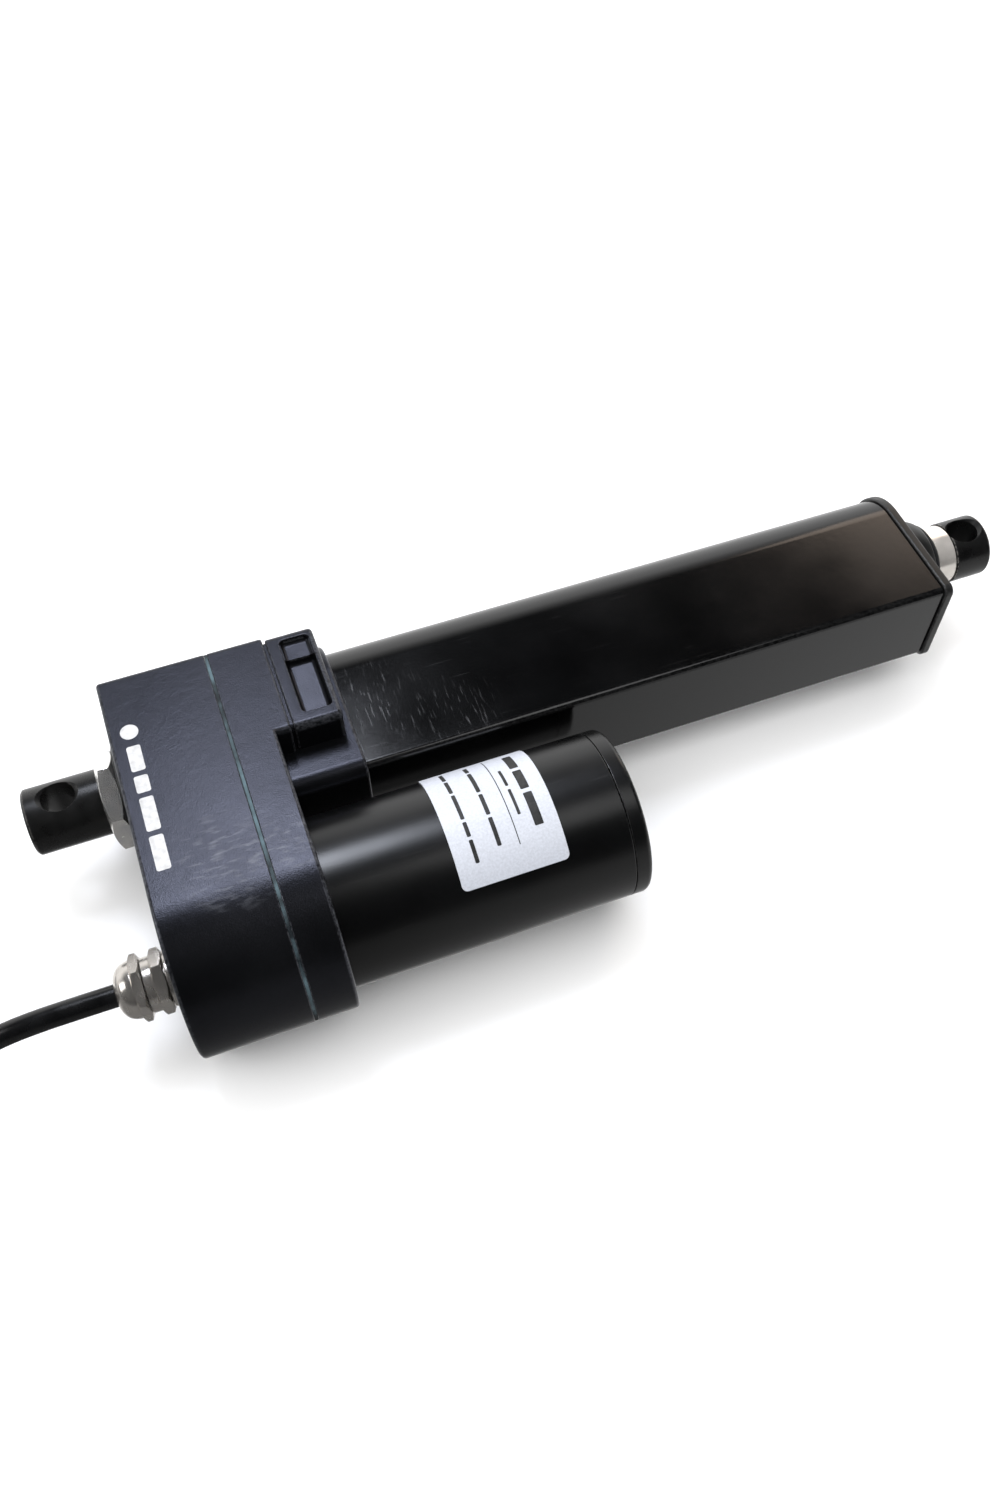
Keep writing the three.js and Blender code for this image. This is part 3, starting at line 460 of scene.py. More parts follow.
def powder_coat():
    """Charcoal powder coat: a fine pebbled skin, cloudy sheen, pale handling marks and dust."""
    look = Look("housing_paint", Specular_IOR_Level=0.35, Specular_Tint=(0.95, 0.98, 1.2, 1))
    cloud = look.cloud(0.035)
    colour = look.mixed(cloud, grey(0.0016, COOL), grey(0.0034, COOL))
    streaks = look.between(look.noise(0.003, 6, look.stretched(0.45, 1.5, 1)), 0.52, 0.8)
    rubbed = look.sum(*[look.patch(middle, radius, streaks) for middle, radius in RUBBED_HOUSING])
    colour = look.mixed(look.times(rubbed, 0.55), colour, grey(0.22, COOL))
    colour = look.mixed(look.times(look.specks(0.0022, 0.09, 0.35), 0.4), colour, grey(0.25))
    colour = look.mixed(look.edge_wear(0.0011, 0.35), colour, grey(0.12, COOL))
    roughness = look.sum(look.level(cloud, 0.28, 0.34), look.times(rubbed, 0.12))
    pebbles = look.bumped(look.noise(0.00055, 2), 0.00005)
    return look.done(colour, roughness, look.bumped(look.noise(0.004, 2), 0.00006, pebbles))


def smooth_black(name, sheen, scratched=()):
    """Smooth black coat: a trace of orange peel, hairline scratches and dust."""
    look = Look(name, Specular_IOR_Level=0.5)
    cloud = look.cloud(0.05)
    colour = look.mixed(cloud, grey(0.0009, COOL), grey(0.0022, COOL))
    hair = look.between(look.noise(0.0009, 5, look.stretched(1, 0.1, 1)), 0.58, 0.74)
    long_hair = look.between(look.noise(0.0011, 4, look.stretched(0.05, 1, 1)), 0.66, 0.74)
    scuffs = look.times(long_hair, 0.25)
    for middle, radius in scratched:
        scuffs = look.sum(scuffs, look.patch(middle, radius, hair))
    colour = look.mixed(look.times(scuffs, 0.22), colour, grey(0.07))
    colour = look.mixed(look.times(look.specks(0.003, 0.05, 0.35), 0.3), colour, grey(0.2))
    colour = look.mixed(look.edge_wear(0.0014, 0.3), colour, grey(0.06))
    roughness = look.sum(look.level(cloud, sheen, sheen + 0.08), look.times(scuffs, 0.25))
    return look.done(colour, roughness, look.bumped(look.noise(0.003, 2), 0.000012))


def moulded_plastic(name, level, rough=0.42):
    look = Look(name, Specular_IOR_Level=0.45)
    cloud = look.cloud(0.012)
    colour = look.mixed(cloud, grey(level * 0.8), grey(level * 1.2))
    colour = look.mixed(look.edge_wear(0.0009, 0.35), colour, grey(min(level * 3 + 0.08, 0.9)))
    colour = look.mixed(look.times(look.specks(0.002, 0.07, 0.3), 0.3), colour, grey(0.3))
    roughness = look.level(cloud, rough - 0.05, rough + 0.07)
    return look.done(colour, roughness, look.bumped(look.noise(0.0004, 2), 0.00002))


def turned_metal(name, low, high, rough, lines=0.00018, depth=0.000006, metallic=1.0,
                 worn=None, wear=0.0):
    """Metal with fine turning lines round the x axis and a cloudy sheen."""
    look = Look(name, Metallic=metallic)
    cloud = look.cloud(0.009)
    cuts = look.noise(lines, 3, look.stretched(1, 0.012, 0.012))
    colour = look.mixed(cloud, low, high)
    colour = look.mixed(look.between(cuts, 0.55, 0.75, 0, 0.25), colour, low)
    if worn is not None:
        colour = look.mixed(look.edge_wear(0.0012, wear), colour, worn)
    roughness = look.sum(look.level(cloud, rough - 0.04, rough + 0.06), look.times(cuts, 0.06))
    return look.done(colour, roughness, look.bumped(cuts, depth))


def plated_metal(name, low, high, rough):
    """Plated metal: soft blotches, faint scratches and a cloudy sheen."""
    look = Look(name, Metallic=0.92)
    blotch = look.cloud(0.007, 3)
    hair = look.between(look.noise(0.0007, 4, look.stretched(0.2, 1, 1)), 0.62, 0.75)
    colour = look.mixed(look.times(hair, 0.3), look.mixed(blotch, low, high), low)
    sheen = look.level(look.cloud(0.006), rough - 0.04, rough + 0.06)
    roughness = look.sum(sheen, look.times(hair, 0.08))
    return look.done(colour, roughness, look.bumped(look.noise(0.004, 2), 0.000004))


def rubber(name, level, rough):
    look = Look(name, Specular_IOR_Level=0.4)
    cloud = look.cloud(0.01)
    colour = look.mixed(cloud, grey(level * 0.8, COOL), grey(level * 1.25, COOL))
    colour = look.mixed(look.times(look.specks(0.0018, 0.08, 0.4), 0.3), colour, grey(0.25))
    roughness = look.level(cloud, rough - 0.05, rough + 0.08)
    return look.done(colour, roughness, look.bumped(look.noise(0.0008, 3), 0.00002))


def gasket_paper():
    """Pale blue-grey sealing sheet, its brightness uneven along the seam: the near-black patches are
    painted shade.
    """
    look = Look("gasket", Roughness=0.7)
    painted_shade_patches = look.between(look.noise(0.015, 5), 0.42, 0.66)
    # The near-black end of this mix is painted shade along the seam.
    colour = look.mixed(painted_shade_patches, (0.003, 0.006, 0.008, 1), (0.065, 0.11, 0.13, 1))
    return look.done(colour, None, look.bumped(look.noise(0.0004, 2), 0.00003))


def foil_label():
    """White foil: a satin film with faint grey mottling."""
    look = Look("label", Specular_IOR_Level=0.5)
    mottle = look.cloud(0.0009)
    colour = look.mixed(mottle, grey(0.44, COOL), grey(0.53, COOL))
    colour = look.mixed(look.edge_wear(0.001, 0.4), colour, grey(0.45))
    return look.done(colour, look.level(mottle, 0.34, 0.46), look.bumped(mottle, 0.000006))


def print_ink(name, low, high):
    """Screen-printed ink, thin in places."""
    look = Look(name, Specular_IOR_Level=0.4)
    thin = look.between(look.noise(0.0025, 5), 0.25, 0.6)
    return look.done(look.mixed(thin, low, high), look.level(thin, 0.6, 0.45),
                     look.bumped(look.noise(0.0005, 2), 0.00001))


def circuit_board():
    look = Look("board", Roughness=0.45)
    weave = look.noise(0.0008, 2, look.stretched(1, 1, 0.2))
    tracks = look.between(look.noise(0.003, 1, look.stretched(0.12, 1, 1)), 0.52, 0.56)
    colour = look.mixed(look.times(tracks, 0.6), (0.02, 0.1, 0.05, 1), (0.05, 0.22, 0.1, 1))
    return look.done(colour, None, look.bumped(look.sum(weave, tracks), 0.00003))


def insulation(name, colour):
    look = Look(name, Specular_IOR_Level=0.45)
    cloud = look.cloud(0.004, 3)
    darker = grey(0.75, colour[:3])
    return look.done(look.mixed(cloud, darker, colour), look.level(cloud, 0.35, 0.5),
                     look.bumped(look.noise(0.0006, 2), 0.00001))


looks = {
    "housing_paint": powder_coat(),
    "tube_paint": smooth_black("tube_paint", 0.11, SCRATCHED_TUBE),
    "motor_paint": smooth_black("motor_paint", 0.26),
    "cap_plastic": moulded_plastic("cap_plastic", 0.006, 0.36),
    "black_steel": turned_metal(
        "black_steel", grey(0.004), grey(0.009), 0.25, metallic=0.3, worn=grey(0.3, WARM), wear=0.7),
    "gasket": gasket_paper(),
    "zinc": plated_metal("zinc", grey(0.78), grey(0.92, (1.03, 1.0, 0.96)), 0.2),
    "stainless": turned_metal(
        "stainless", grey(0.68, WARM), grey(0.84, WARM), 0.18,
        lines=0.0003, depth=0.000002, metallic=0.7),
    "steel": turned_metal("steel", grey(0.34), grey(0.52), 0.34),
    "nickel": turned_metal(
        "nickel", grey(0.5, WARM), grey(0.62, WARM), 0.2, lines=0.0004, depth=0.0000006, metallic=0.92),
    "bronze": turned_metal("bronze", (0.35, 0.2, 0.07, 1), (0.55, 0.34, 0.13, 1), 0.36),
    "copper": plated_metal("copper", (0.4, 0.15, 0.07, 1), (0.62, 0.27, 0.14, 1), 0.4),
    "magnet": moulded_plastic("magnet", 0.05, 0.7),
    "natural_plastic": moulded_plastic("natural_plastic", 0.6, 0.45),
    "black_plastic": moulded_plastic("black_plastic", 0.006),
    "board": circuit_board(),
    "rubber": rubber("rubber", 0.006, 0.55),
    "cable_jacket": rubber("cable_jacket", 0.003, 0.24),
    "carbon": moulded_plastic("carbon", 0.03, 0.65),
    "label": foil_label(),
    "lead_red": insulation("lead_red", (0.42, 0.02, 0.015, 1)),
    "lead_black": insulation("lead_black", (0.012, 0.012, 0.013, 1)),
}
white_ink = print_ink("white_ink", grey(0.36), grey(0.5))
black_ink = print_ink("black_ink", grey(0.03), grey(0.01))

# ---------------------------------------------------------------- camera

LENS_MM = 31.3
CAMERA_PLACE = (75.84, -346.28, 491.82)
LOOKS_DOWN = 56.0            # degrees under the horizon
TURNED_RIGHT = 20.31         # degrees from straight across the spindle, towards +x

camera_data = bpy.data.cameras.new("camera")
camera_data.sensor_fit = "VERTICAL"
camera_data.sensor_height = 36
camera_data.lens = LENS_MM
camera_data.clip_start = 0.02
camera = linked("camera", camera_data)
camera.location = in_row(*CAMERA_PLACE)
camera.rotation_euler = (math.radians(90 - LOOKS_DOWN), 0, math.radians(-TURNED_RIGHT))
bpy.context.scene.camera = camera

# ---------------------------------------------------------------- the cable

CABLE_R = (span("cable_end_sleeve").z1 - span("cable_end_sleeve").z0) / 2
coil = span("cable_coil")
COIL_X = (coil.x0 + coil.x1) / 2
COIL_Y = (coil.y0 + coil.y1) / 2
OUTER_TURN_R = COIL_Y - GLAND_Y
INNER_TURN_R = OUTER_TURN_R - 2 * CABLE_R
LOW_LAYER = coil.z0 + CABLE_R
HIGH_LAYER = LOW_LAYER + 2 * CABLE_R
END_Y = COIL_Y + OUTER_TURN_R

# Routes are rows of x and height.
# Straight out of the gland, down under its own weight and along the surface to the coil.
OUTWARD_ROUTE = [
    (12, 0), (4.7, 0), (-10, 0), (-25, -0.2), (-38, -1.6), (-50, -5), (-62, -10.8), (-74, -18.5),
    (-86, -26.8), (-98, -33.8), (-110, -38), (-122, -39.2), (-134, LOW_LAYER), (-147, LOW_LAYER),
]
# From the top of the coil down to the surface, where the jacket ends.
FREE_END_ROUTE = [
    (-147, HIGH_LAYER - 0.1), (-134, -30.7), (-121, -34.6), (-114, -37.4), (-107, -39.2), (-100, -39.9),
    (-94, -40),
]

# The coil turns clockwise seen from above. Each row: degrees turned, radius, height.
COIL_STAGES = [
    (0, OUTER_TURN_R, LOW_LAYER), (300, OUTER_TURN_R, LOW_LAYER), (360, INNER_TURN_R, LOW_LAYER),
    (600, INNER_TURN_R, LOW_LAYER), (660, INNER_TURN_R, HIGH_LAYER), (900, INNER_TURN_R, HIGH_LAYER),
    (960, OUTER_TURN_R, HIGH_LAYER), (1260, OUTER_TURN_R, HIGH_LAYER),
]
COIL_STEP = 5                # degrees


def eased(t):
    return t * t * (3 - 2 * t)


def coil_points():
    points = []
    for (a0, r0, z0), (a1, r1, z1) in zip(COIL_STAGES, COIL_STAGES[1:]):
        for turned_by in range(a0, a1, COIL_STEP):
            t = eased((turned_by - a0) / (a1 - a0))
            angle = math.radians(-90 - turned_by)
            r = r0 + (r1 - r0) * t
            place = (COIL_X + r * math.cos(angle), COIL_Y + r * math.sin(angle), z0 + (z1 - z0) * t)
            points.append(place)
    return points + [(COIL_X, END_Y, HIGH_LAYER)]


def smooth_line(points, steps=5):
    """A Catmull-Rom curve through the points."""
    knots = [Vector(p) for p in points]
    knots = [2 * knots[0] - knots[1], *knots, 2 * knots[-1] - knots[-2]]
    line = []
    for before, here, after, beyond in zip(knots, knots[1:], knots[2:], knots[3:]):
        for step in range(steps):
            t = step / steps
            line.append(0.5 * (2 * here + (after - before) * t
                               + (2 * before - 5 * here + 4 * after - beyond) * t ** 2
                               + (3 * here - before - 3 * after + beyond) * t ** 3))
    return [*line, knots[-2]]


def cord_curve(name, points, radius, look, stands_for):
    curve = bpy.data.curves.new(name, "CURVE")
    curve.dimensions = "3D"
    curve.bevel_depth = radius * MM
    curve.bevel_resolution = 7
    curve.use_fill_caps = True
    spline = curve.splines.new("POLY")
    spline.points.add(len(points) - 1)
    for knot, point in zip(spline.points, points):
        knot.co = (*in_row(*point), 1)
    spline.use_smooth = True
    return finished(linked(name, curve), look, stands_for)


def cable():
    outward = smooth_line([(x, GLAND_Y, z) for x, z in OUTWARD_ROUTE])
    free_end = smooth_line([(x, END_Y, z) for x, z in FREE_END_ROUTE])
    line = outward + coil_points() + free_end
    return cord_curve("supply_cable", line, CABLE_R, "cable_jacket", ["cable", "cable_coil", "cable_end"])


def cable_sleeve():
    """Heat-shrink sleeve over the end of the jacket."""
    sleeve = span("cable_end_sleeve")
    middle = (sleeve.z0 + sleeve.z1) / 2
    outer_r = CABLE_R + 0.12
    shrunk_r = CABLE_R - 0.9
    profile = [(sleeve.x0 - 1, 0), (sleeve.x0 - 1, outer_r), (sleeve.x1 - 3, outer_r, 1.5),
               (sleeve.x1, shrunk_r, 0.8), (sleeve.x1, 0)]
    return piece("heat_shrink_sleeve", turned(softened(profile, 0.3), 48, END_Y, middle), "rubber",
                 ["cable_end_sleeve"])


LEAD_R = 1.3
LEAD_ASIDE = 2.2             # from the sleeve's middle
LEAD_REST = 1.6              # height of a lead's end over the surface
FERRULE_R = 1.0
FERRULE_MOUTH_R = 1.45


def lead(colour, aside):
    """One insulated lead and the crimped ferrule on its end."""
    node = f"lead_{colour}"
    start = span(node).x0
    height = FREE_END_ROUTE[-1][1]
    # Each row: how far along x, how many times aside along y, height.
    bends = [(-2, 1, height), (0, 1, height), (6, 1, height - 0.4), (14, 1.6, height - 2),
             (22, 2, SURFACE + LEAD_REST)]
    route = [(start + ahead, END_Y + spread * aside, z) for ahead, spread, z in bends]
    wire = cord_curve(f"{colour}_lead", smooth_line(route, 8), LEAD_R, node, [node])
    profile = [(0.2, 0), (0.2, FERRULE_MOUTH_R), (2.2, FERRULE_MOUTH_R), (3, FERRULE_R), (9, FERRULE_R),
               (9.4, 0.8 * FERRULE_R), (9.4, 0)]
    ferrule = moved(turned(softened(profile, 0.15), 32), Matrix.Translation(route[-1]))
    return wire, piece(f"{colour}_ferrule", ferrule, "zinc")


def coil_strap():
    """A flat band round the section of the coil."""
    box = span("cable_strap")
    middle_x, middle_z = (box.x0 + box.x1) / 2, (box.z0 + box.z1) / 2
    half_x, half_z = (box.x1 - box.x0) / 2, (box.z1 - box.z0) / 2

    def outline(inset):
        return rounded_rectangle(-half_x + inset, half_x - inset, -half_z + inset, half_z - inset,
                                 max(3.0 - inset, 1.2), 8)

    thick = 0.8
    edge = 0.2
    stations = [
        (box.y0, edge), (box.y0 + edge, 0), (box.y1 - edge, 0), (box.y1, edge),
        (box.y1, thick - edge), (box.y1 - edge, thick), (box.y0 + edge, thick), (box.y0, thick - edge)]
    band = loft([[(middle_x + u, y, middle_z + w) for u, w in outline(inset)] for y, inset in stations],
                closed=True)
    return piece("coil_strap", band, "rubber", ["cable_strap"])


supply_cable = cable()
on_the_cable = [cable_sleeve(), coil_strap(), *lead("red", LEAD_ASIDE), *lead("black", -LEAD_ASIDE)]

# ---------------------------------------------------------------- rear fixture and its nut

PIN_R = 7.5
PIN_CHAMFER_START = 13.2     # the chamfer's cone leaves the hole this far from the axis
STUB_R = 12.0                # the threaded ends of the two bars
BORE_GAP = 0.4               # between a stub and what is put over it


def pin_cutter(x):
    reach = 20.0
    flare = PIN_R + reach - PIN_CHAMFER_START
    profile = [(-reach, 0), (-reach, flare), (-PIN_CHAMFER_START, PIN_R), (PIN_CHAMFER_START, PIN_R),
               (reach, flare), (reach, 0)]
    return upright(turned(profile, 96), x)


def rear_fixture():
    shoulder = span("fixture_lock_nut").x0 - GAP
    bar = turned(softened([
        (fixture.x0, 0), (fixture.x0, BAR_R - 1.1, 0.3), (fixture.x0 + 1.1, BAR_R, 0.5),
        (shoulder, BAR_R, 0.3), (shoulder, STUB_R), (fixture.x1, STUB_R), (fixture.x1, 0)], 0.3), 128)
    drilled = edges_rounded(cut(bar, pin_cutter(0)), 0.25)
    piece("rear_fixture_bar", drilled, "black_steel", ["rear_fixture"])


def hexagon_prism(across_flats, x0, x1, y=0.0):
    corner = across_flats / math.sqrt(3)
    points = [(y + corner * math.cos(a), corner * math.sin(a))
              for a in (math.radians(30 + 60 * i) for i in range(6))]
    return loft([[(x, u, w) for u, w in points] for x in (x0, x1)])


def hex_nut(across_flats, x0, x1, bore_r, y=0.0):
    """A hexagon whose corners are turned off at both ends."""
    corner = across_flats / math.sqrt(3) + 0.5
    flat = across_flats / 2 * 0.985
    drop = (corner - flat) * math.tan(math.radians(28))
    profile = [(x0, 0), (x0, flat), (x0 + drop, corner), (x1 - drop, corner), (x1, flat), (x1, 0)]
    hexagon = kept_inside(hexagon_prism(across_flats, x0, x1, y), turned(profile, 96, y))
    flare = 1.6
    profile = [(x0 - 1, 0), (x0 - 1, bore_r + flare), (x0 + 0.6, bore_r), (x1 - 0.6, bore_r),
               (x1 + 1, bore_r + flare), (x1 + 1, 0)]
    bore = turned(softened(profile, 0), 64, y)
    return edges_rounded(cut(hexagon, bore), 0.25, 25)


def lock_nut():
    box = span("fixture_lock_nut")
    nut = hex_nut(box.y1 - box.y0, box.x0, box.x1, STUB_R + BORE_GAP)
    piece("fixture_hex_nut", nut, "zinc", ["fixture_lock_nut"])


def collar():
    box = span("rear_collar")
    band = ring(box.x0, box.x1, STUB_R + BORE_GAP, box.z1, 0.6, sides=128)
    piece("rear_collar_ring", band, "black_plastic", ["rear_collar"])


rear_fixture()
lock_nut()
collar()

# ---------------------------------------------------------------- gear housing

WALL = 4.0
END_WALL = 5.0
EDGE = 1.6                   # how much the housing's outer edges are rounded
SEAM_EDGE = 0.5
SEAM_SQUEEZE = 0.28          # the gasket fills the joint on both sides
SEAM_INSET = 0.25
SEAM_WIDTH = 3.2
FRONT_FACE = 96.0            # where the round part ends, on the motor's side
POST_R = 4.5
SCREW_HOLE_R = 2.4
GLAND_HOLE_R = 9.0
HEAD_DEPTH = 4.0
screw_boxes = [span(f"housing_screw_{i}") for i in range(1, 5)]
screw_places = [((b.y0 + b.y1) / 2, (b.z0 + b.z1) / 2) for b in screw_boxes]
HEAD_R = (screw_boxes[0].z1 - screw_boxes[0].z0) / 2


def hole(x0, x1, r, y, z=0.0, flare=0.0):
    """A cutter from x0 to x1 that opens out by flare at the x0 end."""
    profile = [(x0 - 1, 0), (x0 - 1, r + 2 * flare), (x0 + flare, r), (x1, r), (x1, 0)]
    return turned(profile, 48, y, z)


def rear_half():
    inside = rear.x0 + END_WALL
    shell = prism(housing_outline, [
        *rounded_ends(rear.x0, rear.x1, EDGE, SEAM_EDGE), (rear.x1, WALL), (inside, WALL)])
    posts = [round_bar(inside - 1, rear.x1 - 0.5, POST_R, y, z, 32) for y, z in screw_places]
    cutters = [hole(rear.x0, inside + 1, STUB_R + BORE_GAP, 0),
               hole(rear.x0, inside + 1, GLAND_HOLE_R, GLAND_Y)]
    for y, z in screw_places:
        cutters.append(hole(rear.x0, rear.x0 + HEAD_DEPTH + 0.6, HEAD_R + 0.5, y, z, 0.4))
        cutters.append(hole(rear.x0 + 3, rear.x1 + 2, SCREW_HOLE_R, y, z))
    piece("rear_half_shell", cut(joined(shell, *posts), *cutters), "housing_paint",
          ["rear_housing"])


def seam_gasket():
    box = span("housing_gasket")
    x0, x1 = box.x0 - SEAM_SQUEEZE, box.x1 + SEAM_SQUEEZE
    stations = [(x0, SEAM_INSET), (x1, SEAM_INSET), (x1, SEAM_WIDTH), (x0, SEAM_WIDTH)]
    sheet = prism(housing_outline, stations, closed=True)
    piece("seam_gasket", sheet, "gasket", ["housing_gasket"])


# Along x, the square block is followed by a narrow groove and the lug.
BLOCK_END = 102.5
GROOVE_END = 103.7
LUG_END = 125.0
LUG_NEAR = -23.3             # the side of the block and the lug towards the motor
LUG_HALF = 44.0
# Each broad side of the lug has a deep pocket, and a shallower one that opens into it.
POCKET_X = (109.3, 122.6)
POCKET_FLOOR = dict(y0=-15.8, y1=15.6, floor=35.0, rise=2.4)
POCKET_SHELF = dict(y0=12.0, y1=24.8, floor=40.6, rise=0.6)
SOCKET_WALL = 4.2            # round the tube's end
GEAR_ROOM_END = 89.0
BEARING_SEAT_R = 21.3
SPINDLE_HOLE_R = 12.6


def pocket_cutter(side, y0, y1, floor, rise):
    """A pocket in a broad side of the lug: rounded mouth, drawn walls and a filleted floor that
    rises towards y1."""
    mid_x, mid_y = sum(POCKET_X) / 2, (y0 + y1) / 2
    half_x, half_y = (POCKET_X[1] - POCKET_X[0]) / 2, (y1 - y0) / 2
    levels = [(floor, 2.2), (floor + 0.25, 1.3), (floor + 1.0, 0.6), (floor + 2.2, 0.3),
              (LUG_HALF - 0.9, 0), (LUG_HALF - 0.35, -0.15), (LUG_HALF, -0.6), (LUG_HALF + 1.5, -2.0)]
    loops = []
    for height, inset in levels:
        outline = rounded_rectangle(inset - half_x, half_x - inset, inset - half_y, half_y - inset,
                                    max(2.2 - inset, 0.5), 6)
        tilt = rise / (2 * half_y) if height < LUG_HALF - 1 else 0
        loops.append([(mid_x + u, mid_y + w, side * (height + tilt * (w + half_y))) for u, w in outline])
    return loft(loops)


def front_half():
    """The shell round the gears, the block round the spindle bearing, the lug and the tube socket."""
    far = rear.y1
    motor_seat = MOTOR_R + GAP
    shell = prism(housing_outline, rounded_ends(front.x0, FRONT_FACE, SEAM_EDGE, EDGE))
    block = prism(rectangle_outline(LUG_NEAR, far, -HALF_WIDTH, HALF_WIDTH, 3),
                  rounded_ends(FRONT_FACE - 4, BLOCK_END, 0, 1.0))
    groove = prism(rectangle_outline(LUG_NEAR + 1.4, far - 1.6, 1 - LUG_HALF, LUG_HALF - 1, 3),
                   [(BLOCK_END - 3, 0), (GROOVE_END + 3, 0)])
    lug = prism(rectangle_outline(LUG_NEAR + 0.4, far - 0.4, -LUG_HALF, LUG_HALF, 3.4),
                rounded_ends(GROOVE_END, LUG_END, 0.9, 1.8))
    socket = prism(tube_outline, rounded_ends(FRONT_FACE - 3, front.x1, 0, 1.2, -SOCKET_WALL))
    cutters = [
        prism(housing_outline, [(front.x0 - 2, WALL), (GEAR_ROOM_END, WALL)]),
        *[pocket_cutter(side, **part) for side in (1, -1) for part in (POCKET_FLOOR, POCKET_SHELF)],
        prism(tube_outline, [(tube.x0 - GAP, -GAP), (front.x1 + 2, -GAP)]),
        hole(GEAR_ROOM_END - 2, 112, SPINDLE_HOLE_R, 0),
        round_bar(94, tube.x0, BEARING_SEAT_R),
        turned([(GEAR_ROOM_END - 3, 0), (GEAR_ROOM_END - 3, motor_seat), (FRONT_FACE - 0.8, motor_seat),
                (FRONT_FACE + 1, motor_seat + 1.8), (FRONT_FACE + 1, 0)], 128, MOTOR_Y),
    ]
    solid = joined(shell, block, groove, lug, socket)
    piece("front_half_shell", cut(solid, *cutters), "housing_paint", ["front_housing"])


def housing_screw(number, place):
    """A socket head cap screw in its counterbore."""
    box = screw_boxes[number - 1]
    y, z = place
    shank_r = 2.0
    neck = box.x0 + HEAD_DEPTH
    bolt = turned(softened([
        (box.x0, 0), (box.x0, HEAD_R, 0.5), (neck, HEAD_R), (neck, shank_r),
        (box.x1 - 0.8, shank_r), (box.x1, shank_r - 0.8), (box.x1, 0)], 0.2), 48, y, z)
    socket = moved(hexagon_prism(3.0, box.x0 - 1, box.x0 + 2.2), Matrix.Translation((0, y, z)))
    piece(f"housing_cap_screw_{number}", cut(bolt, socket), "steel",
          [f"housing_screw_{number}"], sharp=30)


rear_half()
seam_gasket()
front_half()
for number, place in enumerate(screw_places, 1):
    housing_screw(number, place)

# ---------------------------------------------------------------- tube, front cap and rod

CAP_FLANGE_END = 418.2
CAP_FLANGE_LIP = 1.4         # how far the flange stands out past the tube
CAP_BOSS_R = 22.5
CAP_MOUTH_R = ROD_R + 0.6
CAP_RECESS_R = 17.8
CAP_SPIGOT_R = 20.6
WIPER_SEAT_R = 18.4
ROD_BORE_R = 12.3
CAP_SCREW_PLACES = [(-33, 18.4), (-33, -18.4), (27.4, 12.7), (27.4, -12.7)]


def outer_tube():
    wall = 3.0
    edge = 0.3
    stations = [(tube.x0, edge), (tube.x0 + edge, 0), (tube.x1 - edge, 0), (tube.x1, edge),
                (tube.x1, wall), (tube.x0, wall)]
    profile = prism(tube_outline, stations, closed=True)
    piece("tube_profile", profile, "tube_paint", ["outer_tube"])


def front_cap():
    start = tube.x1 + GAP
    flange = prism(tube_outline, rounded_ends(start, CAP_FLANGE_END, 0.9, 1.1, -CAP_FLANGE_LIP))
    boss = turned(softened([
        (start + 1, 0), (start + 1, CAP_BOSS_R), (CAP_FLANGE_END + 0.2, CAP_BOSS_R, 1.5),
        (CAP_FLANGE_END + 5, CAP_BOSS_R - 1, 2), (cap.x1 - 1, 20, 1.2), (cap.x1, WIPER_SEAT_R, 0.6),
        (cap.x1, 0)], 0.3), 128)
    spigot = turned(softened([
        (cap.x0, 0), (cap.x0, CAP_SPIGOT_R), (start + 2, CAP_SPIGOT_R), (start + 2, 0)], 0.6), 96)
    recess = round_bar(cap.x0 - 1, cap.x1 - 1.2, CAP_RECESS_R)
    mouth = round_bar(cap.x1 - 2, cap.x1 + 1, CAP_MOUTH_R)
    holes = [hole(start - 2, CAP_FLANGE_END + 1, SCREW_HOLE_R, y, z) for y, z in CAP_SCREW_PLACES]
    solid = cut(joined(flange, boss, spigot), recess, mouth, *holes)
    piece("front_cap", solid, "cap_plastic", ["front_end_cap"])


def cap_screw(number, place):
    """A pan head screw with a cross recess, holding the front cap to the tube."""
    y, z = place
    head = CAP_FLANGE_END + 0.05
    shank_r = 2.0
    bolt = turned(softened([
        (head - 16, 0), (head - 16, shank_r), (head, shank_r), (head, 3.5, 0.2), (head + 1.2, 3.4, 0.5),
        (head + 2.1, 2.2, 1.0), (head + 2.3, 0)], 0.2), 40, y, z)
    slots = []
    long_arm, short_arm = 3.6, 0.7
    for wide, tall in ((long_arm, short_arm), (short_arm, long_arm)):
        slot_box = rectangle_outline(y - wide / 2, y + wide / 2, z - tall / 2, z + tall / 2, 0.3)
        slots.append(prism(slot_box, [(head + 1.0, 0), (head + 4, 0)]))
    piece(f"front_cap_screw_{number}", cut(bolt, *slots), "steel", sharp=30)


def wiper():
    box = span("rod_wiper_seal")
    bore = ROD_R + 0.3
    profile = [(box.x0, bore), (box.x0, WIPER_SEAT_R), (box.x0 + 1.2, 18.2), (box.x0 + 2, 17.2),
               (box.x1, bore + 0.9), (box.x1, bore), (box.x0, bore)]
    piece("wiper_ring", turned(softened(profile, 0.3)), "rubber", ["rod_wiper_seal"])


def piston_rod():
    pipe = ring(rod.x0, rod.x1, ROD_BORE_R, ROD_R, 0.5, sides=128)
    piece("polished_rod", pipe, "stainless", ["piston_rod"], "rod")


def rod_eye():
    shoulder = rod.x1 + GAP
    bar = turned(softened([
        (eye.x0, 0), (eye.x0, STUB_R), (shoulder, STUB_R), (shoulder, eye.z1, 0.5),
        (eye.x1 - 1, eye.z1, 0.6), (eye.x1, eye.z1 - 1, 0.4), (eye.x1, 0)], 0.3), 128)
    drilled = edges_rounded(cut(bar, pin_cutter(eye_hole_x)), 0.25)
    piece("rod_eye_bar", drilled, "black_steel", ["rod_eye"], "rod")


